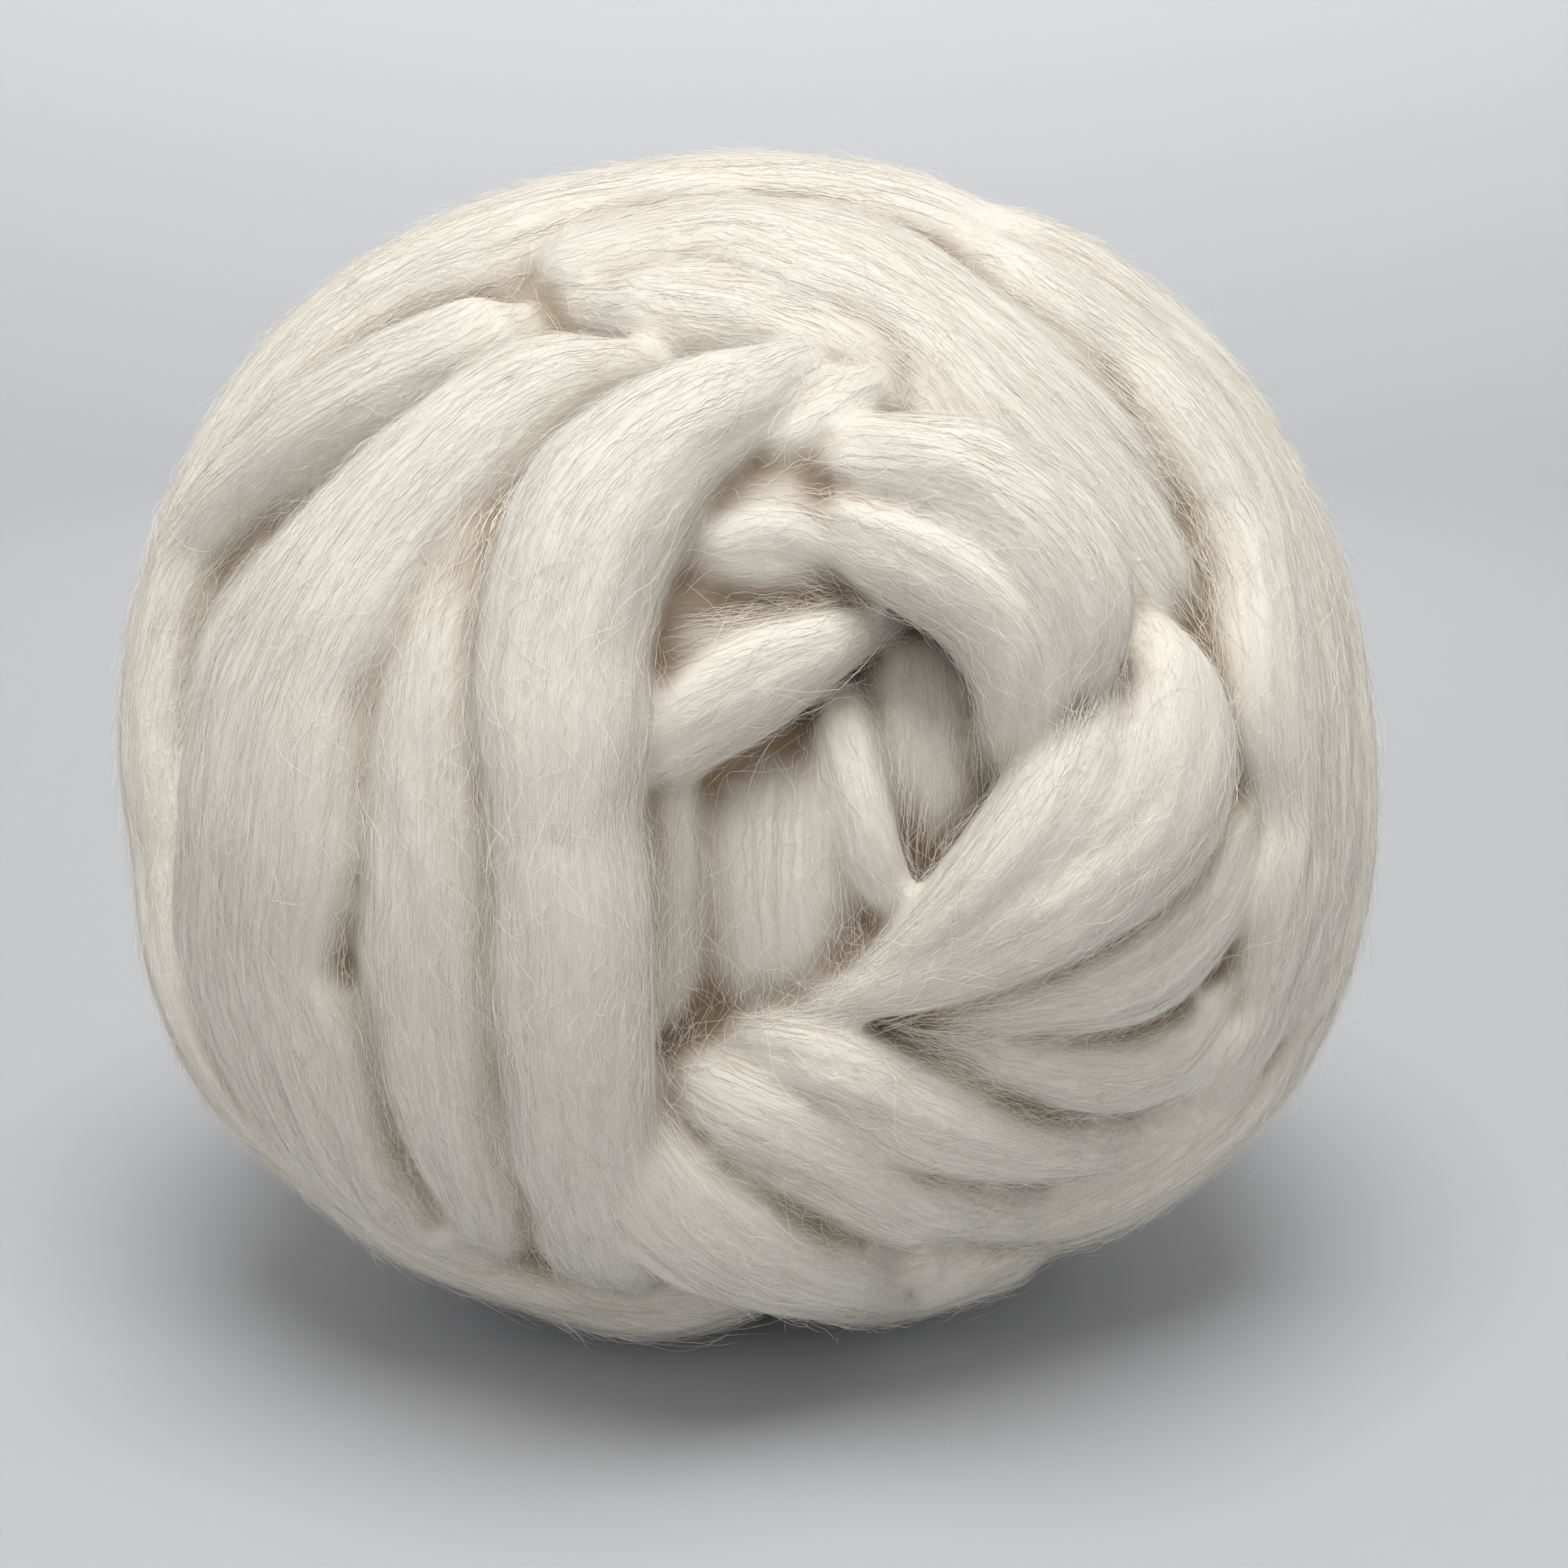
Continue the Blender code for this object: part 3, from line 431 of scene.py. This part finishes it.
def band(line, thick, rng, depth):
    """A band's skin, in rows round its section: its points, and their places along and across the band."""
    outward, sideways = directions(line)
    rows, widest = len(line), line[:, 3].max()
    sides = int(np.clip(widest * PER_MM, FEWEST, MOST))
    share = np.linspace(-1, 1, rows)
    end = np.sqrt(np.clip(1 - np.abs(share) ** END_POWER, END_LEAST, 1))[:, None]
    half_width = line[:, 3:4] / 2 * end
    half_thick = np.minimum(thick, line[:, 3:4] * THICKEST) / 2 * end * PUFF
    middle = line[:, :3] - outward * (half_thick * (1 - 1 / PUFF))
    flatness = 2 + FLATTER * np.clip(line[:, 3:4] / WIDE, 0, 1) ** 2

    def bulge(u):
        """How high the section is at places across it, as a share."""
        return np.sqrt(np.clip(1 - np.abs(u) ** flatness, 0, 1))

    def placed(aside, rise):
        """Points beside the band's middle, bent round the ball as the turns below it are."""
        rise = rise - aside ** 2 / (2 * HALF_SIZE[2])
        return middle[:, None] + sideways[:, None] * aside[..., None] + outward[:, None] * rise[..., None]

    along = np.linspace(0, STEP * (rows - 1), rows)[:, None]
    u = across_section(-1, 1, sides)
    lateral = u * widest / 2
    cut = furrows(along, lateral, rng) * depth * np.minimum(bulge(u) * FURROW_EDGE, 1)
    cut *= np.minimum(half_width / FURROW_HALF_WIDTH, 1)
    aside = u * half_width * (1 + waves(rng, along, EDGE_LENGTHS, EDGE_WANDER) * np.abs(u))
    outer = placed(aside, half_thick * bulge(u) - cut)
    u = across_section(1, -1, UNDER_SIDES + 2)[:, 1:-1]
    under = placed(u * half_width, -half_thick * bulge(u))
    points = np.concatenate([outer, under], axis=1)
    points[..., 2] = np.maximum(points[..., 2], FLOOR)

    under_lateral = np.flip(lateral, axis=1)[:, ::sides // UNDER_SIDES][:, :UNDER_SIDES]
    lateral = np.concatenate([lateral, under_lateral], axis=1) * np.ones((rows, 1))
    return points, np.stack([along * np.ones_like(lateral), lateral], axis=-1)


def grid_faces(rows, sides, first, closed):
    """Corner numbers of the four-cornered faces of a grid of points."""
    row, side = np.meshgrid(np.arange(rows - 1), np.arange(sides if closed else sides - 1), indexing="ij")
    beyond = (side + 1) % sides
    corners = np.stack([row * sides + side, row * sides + beyond, (row + 1) * sides + beyond,
                        (row + 1) * sides + side], axis=-1)
    return corners.reshape(-1, 4) + first


def new_mesh(name, points, faces):
    """A mesh whose faces all have the same number of corners."""
    mesh = bpy.data.meshes.new(name)
    mesh.vertices.add(len(points))
    mesh.vertices.foreach_set("co", points.ravel())
    mesh.loops.add(faces.size)
    mesh.loops.foreach_set("vertex_index", faces.ravel())
    mesh.polygons.add(len(faces))
    mesh.polygons.foreach_set("loop_start", np.arange(0, faces.size, faces.shape[1]))
    mesh.update(calc_edges=True)
    return mesh


def smooth_object(name, mesh, material):
    """An object of the scene with a smooth mesh."""
    mesh.shade_smooth()
    mesh.materials.append(material)
    made = bpy.data.objects.new(name, mesh)
    bpy.context.scene.collection.objects.link(made)
    return made


def mesh_piece(name, points, faces, material):
    """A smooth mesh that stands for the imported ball, from points in millimetres round its middle."""
    piece = smooth_object(name, new_mesh(name, (points + MIDDLE) * MM, faces), material)
    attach(piece, "root")
    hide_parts("roving_ball")
    return piece


class Bands:
    """All the bands' skins together, to be searched for the nearest of their faces."""

    def __init__(self, skins):
        points, faces, places, first = [], [], [], 0
        for number, (skin_points, skin_places) in enumerate(skins):
            rows, sides = skin_points.shape[:2]
            points.append(skin_points.reshape(-1, 3))
            faces.append(grid_faces(rows, sides, first, True))
            places.append(skin_places.reshape(-1, 2) + [number * BAND_APART, 0])
            first += rows * sides
        self.points, self.faces, self.places = (np.concatenate(part) for part in (points, faces, places))
        self.tree = BVHTree.FromPolygons(self.points.tolist(), self.faces.tolist())

    def nearest(self, points):
        """The number of the nearest face to each point."""
        return np.array([self.tree.find_nearest(point)[2] for point in points.tolist()])

    def place_at(self, points, face):
        """Where each point is along and across its face's band, also if it is a little outside the face."""
        corners = self.faces[face]
        start, aside, ahead = (self.points[corners[:, at]] for at in (0, 1, 3))
        shares = [np.sum((points - start) * way, axis=1) / np.maximum(np.sum(way * way, axis=1), TINY_SQUARE)
                  for way in (aside - start, ahead - start)]
        first, across, on = (self.places[corners[:, at]] for at in (0, 1, 3))
        shares = [np.clip(share, *MAP_REACH)[:, None] for share in shares]
        return first + (across - first) * shares[0] + (on - first) * shares[1]

    def ways(self, face):
        """Unit directions in which the wool runs at faces."""
        corners = self.faces[face]
        way = self.points[corners[:, 3]] - self.points[corners[:, 0]]
        return way / np.maximum(np.linalg.norm(way, axis=1), TINY)[:, None]


def packed_core():
    """Points and faces of the core under the turns, deeper in the nest."""
    row = np.linspace(0, math.pi, CORE_ROWS)[:, None]
    side = np.linspace(0, 2 * math.pi, CORE_SIDES, endpoint=False)[None, :]
    aims = np.stack([np.sin(row) * np.cos(side), np.sin(row) * np.sin(side), np.cos(row) + 0 * side], axis=-1)
    nest = on_face(*NEST_MIDDLE, 0)[0]
    nest = nest / np.linalg.norm(nest)
    away = np.minimum(np.arccos(np.clip(aims @ nest, -1, 1)) / NEST_ANGLE, 1)
    depth = CORE_DEPTH + NEST_DEPTH * (1 - away ** 2) ** 2
    radius = 1 / np.sqrt(np.sum((aims / (HALF_SIZE - depth[..., None])) ** 2, axis=-1))
    core = aims * radius[..., None]
    core[..., 2] = np.maximum(core[..., 2], FLOOR)
    return core.reshape(-1, 3), grid_faces(CORE_ROWS, CORE_SIDES, 0, True)


# ---------------------------------------------------------------- the skin over the bands

def points_of(mesh):
    """Its points, in rows of three."""
    points = np.empty(len(mesh.vertices) * 3)
    mesh.vertices.foreach_get("co", points)
    return points.reshape(-1, 3)


def faces_of(mesh, corners):
    """Its faces, which all have that many corners."""
    faces = np.empty(len(mesh.loops), int)
    mesh.loops.foreach_get("vertex_index", faces)
    return faces.reshape(-1, corners)


def modified(mesh, *steps):
    """The mesh that modifiers make of a mesh; each is given as its kind and its settings."""
    rough = bpy.data.objects.new("rough", mesh)
    bpy.context.scene.collection.objects.link(rough)
    for kind, settings in steps:
        modifier = rough.modifiers.new(kind, kind)
        for name, value in settings.items():
            setattr(modifier, name, value)
    made = bpy.data.meshes.new_from_object(rough.evaluated_get(bpy.context.evaluated_depsgraph_get()))
    bpy.data.objects.remove(rough)
    return made


def softened(rounds):
    """A step of that many rounds of softening."""
    return "SMOOTH", dict(factor=SOFTENING, iterations=rounds)


def out_of_ball(points):
    """Unit directions out of the ball at points."""
    outward = points / HALF_SIZE ** 2
    return outward / np.linalg.norm(outward, axis=1)[:, None]


def merged_skin(bands, core):
    """One softened skin over all the bands and the core, with how far each point lies in a hollow."""
    core_points, core_faces = core
    points = np.concatenate([bands.points, core_points])
    faces = np.concatenate([bands.faces, core_faces + len(bands.points)])
    merged = modified(new_mesh("bands", points, faces),
                      ("REMESH", dict(mode="VOXEL", voxel_size=SKIN_CELL)),
                      softened(SKIN_SOFTENING))
    soft = modified(merged, softened(HOLLOW_ROUNDS))
    points = points_of(merged)
    # how deep each point lies below the softened form, which sets the painted shade of the creases on the
    # skin and the lying fibres
    hollow = np.sum((points_of(soft) - points) * out_of_ball(points), axis=1)
    merged.attributes.new("hollow", "FLOAT", "POINT").data.foreach_set("value", hollow)
    squares_as_triangles = 2 * len(merged.polygons)
    ratio = SKIN_TRIANGLES / squares_as_triangles
    fewer = modified(merged, ("DECIMATE", dict(ratio=ratio, use_collapse_triangulate=True)))
    points = points_of(fewer)
    points[:, 2] = np.maximum(points[:, 2], FLOOR)
    hollow = np.empty(len(points))
    fewer.attributes["hollow"].data.foreach_get("value", hollow)
    return points, faces_of(fewer, 3), hollow


class Skin:
    """The ball's skin and the way its wool runs, for fibres to creep over."""

    def __init__(self, bands, core):
        self.points, self.faces, self.hollow = merged_skin(bands, core)
        self.tree = BVHTree.FromPolygons(self.points.tolist(), self.faces.tolist())
        self.band_face = bands.nearest(self.points)       # of the bands, under each of the skin's points
        self.ways = bands.ways(self.band_face[self.faces[:, 0]])

    def piece(self, bands, material):
        """The skin's mesh, its map running along each band."""
        piece = mesh_piece("wool_skin", self.points, self.faces, material)
        places = bands.place_at(self.points, self.band_face)
        band_of = np.floor((places[:, 0] + BAND_BEFORE) / BAND_APART).astype(int)
        uv = places[self.faces]
        mixed = np.ptp(band_of[self.faces], axis=1) > 0
        corners = self.faces[mixed]
        repeats = np.repeat(self.band_face[corners[:, 0]], 3)
        uv[mixed] = bands.place_at(self.points[corners].reshape(-1, 3), repeats).reshape(-1, 3, 2)
        piece.data.uv_layers.new(name="UVMap").uv.foreach_set("vector", uv.ravel() * MM)
        piece.data.attributes.new("hollow", "FLOAT", "POINT").data.foreach_set("value", self.hollow)
        return piece

    def seeds(self, count, rng):
        """Places of the skin drawn at random, and their faces: densest on the wound face, sparsest behind."""
        corners = self.points[self.faces]
        area = np.linalg.norm(np.cross(corners[:, 1] - corners[:, 0], corners[:, 2] - corners[:, 0]), axis=1)
        weight = area * (1 + FACE_DENSER * out_of_ball(corners.mean(axis=1)) @ FACE_OUT)
        face = rng.choice(len(self.faces), count, p=weight / weight.sum())
        first, second = np.sqrt(rng.random(count)), rng.random(count)
        shares = np.stack([1 - first, first * (1 - second), first * second], axis=1)
        return np.sum(corners[face] * shares[..., None], axis=1), face

    def creep(self, places, step, astray, hold):
        """Lines over the skin: each starts astray of the wool, and a step turns it back by the share hold.

        Gives their points, the normals there, and how well each agreed with the wool where it did least.
        """
        at, normal, face = self.beneath(places)
        way = self.ways[face]
        way = way * np.cos(astray)[:, None] + np.cross(normal, way) * np.sin(astray)[:, None]
        points, normals, agreed = [at], [normal], np.ones(len(at))
        for _ in range(FIBRE_POINTS - 1):
            at, normal, face = self.beneath(at + way * step[:, None])
            own = self.ways[face]
            along = np.sum(own * way, axis=1)
            agreed = np.minimum(agreed, np.abs(along))
            own = own * np.where(along < 0, -1, 1)[:, None]
            way = way + (own - way) * hold
            way -= normal * np.sum(way * normal, axis=1)[:, None]
            way /= np.maximum(np.linalg.norm(way, axis=1), TINY)[:, None]
            points.append(at)
            normals.append(normal)
        return np.stack(points, axis=1), np.stack(normals, axis=1), agreed

    def beneath(self, points):
        """The place of the skin nearest to each point, its normal and its face."""
        found = [self.tree.find_nearest(point)[:3] for point in points.tolist()]
        places, normals, faces = zip(*found)
        return np.array(places), np.array(normals), np.array(faces)


# ---------------------------------------------------------------- fibres

def bridged(lines, rounds):
    """Lines with their inner points moved towards their neighbours, so that they span narrow creases."""
    for _ in range(rounds):
        lines = lines.copy()
        lines[:, 1:-1] = lines[:, 1:-1] / 2 + (lines[:, :-2] + lines[:, 2:]) / 4
    return lines


def beside(lines, normals):
    """Unit directions across lines, at right angles to normals."""
    side = np.cross(np.gradient(lines, axis=1), normals)
    return side / np.maximum(np.linalg.norm(side, axis=2), TINY)[..., None]


def ribbons(name, lines, normals, width, material):
    """One mesh of narrow ribbons, each along a fibre and facing its normals."""
    count, points = lines.shape[:2]
    side = beside(lines, normals)
    t = np.linspace(-1, 1, points)[None, :]
    half = width[:, None] / 2 * np.sqrt(FIBRE_BLUNTNESS - t ** 4)
    both = np.stack([lines - side * half[..., None], lines + side * half[..., None]], axis=2)
    both[..., 2] = np.maximum(both[..., 2], FIBRE_CLEARANCE + FLOOR)
    faces = grid_faces(points, 2, 0, False)
    faces = (faces[None] + (np.arange(count) * points * 2)[:, None, None]).reshape(-1, 4)
    return mesh_piece(name, both.reshape(-1, 3), faces, material)


def lying_fibres(skin, rng):
    """Fibres that lie in the wool, in meshes for each tone: the deeper its hollow, the darker a fibre, as
    painted shade.
    """
    count = LYING_FIBRES
    places, face = skin.seeds(count, rng)
    reach = rng.uniform(*LYING_REACH, count)
    astray = rng.normal(0, LYING_ANGLE, count)
    lines, normals, agreed = skin.creep(places, reach / (FIBRE_POINTS - 1), astray, LYING_HOLD)
    t = np.linspace(-1, 1, FIBRE_POINTS)[None, :]
    crimps = t / 2 * reach[:, None] / rng.uniform(*CRIMP_LENGTH, count)[:, None]
    crimp = np.sin(2 * math.pi * (crimps + rng.random(count)[:, None]))
    crimp = crimp * rng.uniform(0, CRIMP_HEIGHT, count)[:, None]
    lift = rng.uniform(*LYING_LIFT, count)[:, None] + rng.exponential(LYING_END_LIFT, count)[:, None] * t ** 4
    lines = bridged(lines, 1) + beside(lines, normals) * crimp[..., None] + normals * lift[..., None]
    depth = skin.hollow[skin.faces[face, 0]] + rng.normal(0, TONE_SCATTER, count)
    width = rng.uniform(*LYING_WIDTHS, count) * LYING_WIDTH
    # painted shade: fibres in deeper hollows take the darker tones
    for tone, (least, most, colour) in enumerate(LYING_SHADE_TONES):
        mine = np.flatnonzero((depth >= least) & (depth < most) & (agreed > LYING_AGREES))
        material = plain_wool(f"fibre_{tone}", colour)
        for part, some in enumerate(np.array_split(mine, math.ceil(len(mine) / MOST_FIBRES))):
            ribbons(f"fibres_{tone}_{part}", lines[some], normals[some], width[some], material)


def stray_fibres(skin, name, count, reach, lift, material, rng):
    """Thin curly fibres that stand a little off the wool and cross its creases."""
    places, _ = skin.seeds(count, rng)
    reach = rng.uniform(*reach, count)
    astray = rng.normal(0, STRAY_ANGLE, count)
    lines, normals, _ = skin.creep(places, reach / (FIBRE_POINTS - 1), astray, STRAY_HOLD)
    lines = bridged(lines, 2)
    t = np.linspace(0, 1, FIBRE_POINTS)[None, :]
    curls = []
    for _ in range(2):
        turns = t * rng.uniform(*STRAY_CURLS, count)[:, None] + rng.random(count)[:, None]
        curls.append(np.sin(2 * math.pi * turns) * reach[:, None] * STRAY_CURL_SIZE)
    outward, aside = curls
    lift = STRAY_LEAST_LIFT + rng.exponential(lift, count)[:, None] * t ** 1.5 + np.abs(outward) * t
    lines = lines + beside(lines, normals) * aside[..., None] + normals * lift[..., None]
    roll = rng.normal(0, 1, (count, 1, 3))
    width = rng.uniform(*STRAY_WIDTHS, count) * STRAY_WIDTH
    ribbons(name, lines, normals + roll, width, material)


# ---------------------------------------------------------------- materials

def plain(name, colour, settings):
    """A material of one colour; settings are its shader's other sockets."""
    material = bpy.data.materials.new(name)
    material.use_nodes = True
    shader = material.node_tree.nodes["Principled BSDF"]
    shader.inputs["Base Color"].default_value = (*colour[:3], 1)
    for socket, value in settings.items():
        shader.inputs[socket].default_value = value
    return material


def plain_wool(name, colour):
    """Wool of one colour."""
    return plain(name, colour, WOOL_SHADER)


class Graph:
    """Short calls that add nodes to a material; a value given to one is a number, a colour or a socket."""

    def __init__(self, material):
        self.tree = material.node_tree
        self.shader = self.tree.nodes["Principled BSDF"]

    def node(self, kind, *values, **settings):
        """A node, with its settings and the values of its sockets, given by number or by name."""
        made = self.tree.nodes.new(kind)
        for name, value in settings.items():
            setattr(made, name, value)
        for socket, value in values:
            self.feed(made.inputs[socket], value)
        return made

    def feed(self, socket, value):
        """Links a socket to the value's, or sets it."""
        if isinstance(value, bpy.types.NodeSocket):
            self.tree.links.new(value, socket)
        else:
            socket.default_value = value

    def maths(self, operation, *values):
        """What a sum, product or other operation makes of values."""
        return self.node("ShaderNodeMath", *enumerate(values), operation=operation).outputs["Value"]

    def ramp(self, value, start, full, kind="LINEAR"):
        """0 up to start, 1 from full on."""
        values = ("Value", value), ("From Min", start), ("From Max", full)
        return self.node("ShaderNodeMapRange", *values, interpolation_type=kind).outputs["Result"]

    def mix(self, share, first, second):
        """From one colour to another."""
        values = (0, share), (6, first), (7, second)
        return self.node("ShaderNodeMix", *values, data_type="RGBA").outputs[2]

    def noise(self, place, along, across, detail):
        """A noise with that many spots to a metre, along and across the wool."""
        stretched = self.node("ShaderNodeMapping", ("Vector", place), ("Scale", (along, across, 1)))
        values = ("Vector", stretched.outputs["Vector"]), ("Scale", 1), ("Detail", detail)
        return self.node("ShaderNodeTexNoise", *values, noise_dimensions="2D").outputs["Fac"]


def banded_wool():
    """Wool whose locks and hairs run along the bands, with painted shade that darkens it in its creases."""
    material = plain_wool("wool_bands", WOOL_COLOUR)
    graph = Graph(material)
    place = graph.node("ShaderNodeUVMap", uv_map="UVMap").outputs["UV"]
    crimp = graph.maths("MULTIPLY_ADD", graph.noise(place, *CRIMP_NOISE), BENT, -BENT / 2)
    aside = graph.node("ShaderNodeCombineXYZ", ("Y", crimp)).outputs["Vector"]
    crimped = graph.node("ShaderNodeVectorMath", (0, place), (1, aside)).outputs["Vector"]
    locks = graph.noise(place, *LOCK_NOISE)
    strands = graph.maths("MULTIPLY_ADD", graph.noise(crimped, *STRAND_NOISE), STRAND_HEIGHT, locks)

    # Hairs are the contour lines of a noise
    contours = graph.maths("PINGPONG", graph.noise(crimped, *HAIR_NOISE), CONTOUR)
    hairs = graph.ramp(contours, CONTOUR_EDGE, CONTOUR, "SMOOTHSTEP")
    height = graph.maths("MULTIPLY_ADD", hairs, HAIR_HEIGHT, strands)
    values = ("Strength", BUMP_STRENGTH), ("Distance", BUMP_DISTANCE), ("Height", height)
    graph.feed(graph.shader.inputs["Normal"], graph.node("ShaderNodeBump", *values).outputs["Normal"])

    colour = graph.mix(locks, WOOL_DARK, WOOL_LIGHT)
    colour = graph.mix(graph.maths("MULTIPLY", hairs, LIT_SHARE), colour, WOOL_LIT)
    # Painted shade: the deeper a point lies in a hollow, the more it takes of the crease colour
    hollow = graph.node("ShaderNodeAttribute", attribute_name="hollow").outputs["Fac"]
    crease = graph.ramp(hollow, HOLLOW_STARTS, HOLLOW_FULL, "SMOOTHSTEP")
    graph.feed(graph.shader.inputs["Base Color"], graph.mix(crease, colour, CREASE_SHADE))
    return material


def studio_grey():
    """Grey that lightens from the floor up the wall, as painted light and shade on the backdrop."""
    material = plain("studio_grey", STUDIO_GREYS[0], STUDIO_SHADER)
    graph = Graph(material)
    place = graph.node("ShaderNodeNewGeometry").outputs["Position"]
    height = graph.node("ShaderNodeSeparateXYZ", ("Vector", place)).outputs["Z"]
    grey = graph.mix(graph.ramp(height, 0, GREY_HEIGHT), *STUDIO_GREYS)
    graph.feed(graph.shader.inputs["Base Color"], grey)
    return material


# ---------------------------------------------------------------- the ball

rng = np.random.default_rng(SEED)
skins = []
for name, strand in STRANDS.items():
    depth = FURROW_DEPTH * (CALM_FURROWS if name in CALM_STRANDS else 1)
    skins.append(band(face_line(strand, STEP), strand["thick"], rng, depth))
for turn in BACK_TURNS:
    skins.append(band(back_line(turn, STEP), BACK_THICKNESS, rng, FURROW_DEPTH))

bands = Bands(skins)
skin = Skin(bands, packed_core())
skin.piece(bands, banded_wool())
lying_fibres(skin, rng)
stray_wool = plain_wool("stray", STRAY_COLOUR)
for strays in STRAYS:
    stray_fibres(skin, material=stray_wool, rng=rng, **strays)

# ---------------------------------------------------------------- the studio

def studio():
    """A round floor that curves up into a wall."""
    profile = [(0, 0), (FLOOR_RADIUS / 2, 0)]
    for angle in np.linspace(0, math.pi / 2, CURVE_STEPS):
        profile.append((FLOOR_RADIUS + CURVE * math.sin(angle), CURVE * (1 - math.cos(angle))))
    profile.append((FLOOR_RADIUS + CURVE, CURVE + WALL))
    around = np.linspace(0, 2 * math.pi, STUDIO_SIDES, endpoint=False)
    points = np.array([[radius * math.cos(angle), radius * math.sin(angle), height]
                       for radius, height in profile for angle in around])
    faces = grid_faces(len(profile), STUDIO_SIDES, 0, True)[:, ::-1]
    room = smooth_object("studio", new_mesh("studio", points, faces), studio_grey())


def soft_light(name, place, aim, size, power):
    """A round area light at a place, turned towards its aim."""
    light = bpy.data.lights.new(name, "AREA")
    light.shape = "DISK"
    light.size = size
    light.energy = power
    lamp = bpy.data.objects.new(name, light)
    lamp.location = place
    lamp.rotation_euler = (Vector(aim) - Vector(place)).to_track_quat("-Z", "Y").to_euler()
    bpy.context.scene.collection.objects.link(lamp)


studio()
for light in LIGHTS:
    soft_light(**light)

world = bpy.data.worlds.new("studio_air")
bpy.context.scene.world = world
world.use_nodes = True
air = world.node_tree.nodes["Background"]
air.inputs["Color"].default_value = AIR_COLOUR
air.inputs["Strength"].default_value = AIR_STRENGTH

camera = bpy.data.cameras.new("camera")
camera.sensor_width = SENSOR
camera.lens = LENS
viewer = bpy.data.objects.new("camera", camera)
bpy.context.scene.collection.objects.link(viewer)
eye = MIDDLE + FACE_OUT * FACE_DISTANCE
aim = MIDDLE + FACE_RIGHT * AIM_RIGHT - FACE_UP * AIM_DOWN
viewer.location = Vector(eye * MM)
viewer.rotation_euler = Vector(aim - eye).to_track_quat("-Z", "Y").to_euler()
bpy.context.scene.camera = viewer
bpy.context.scene.view_settings.view_transform = "Standard"
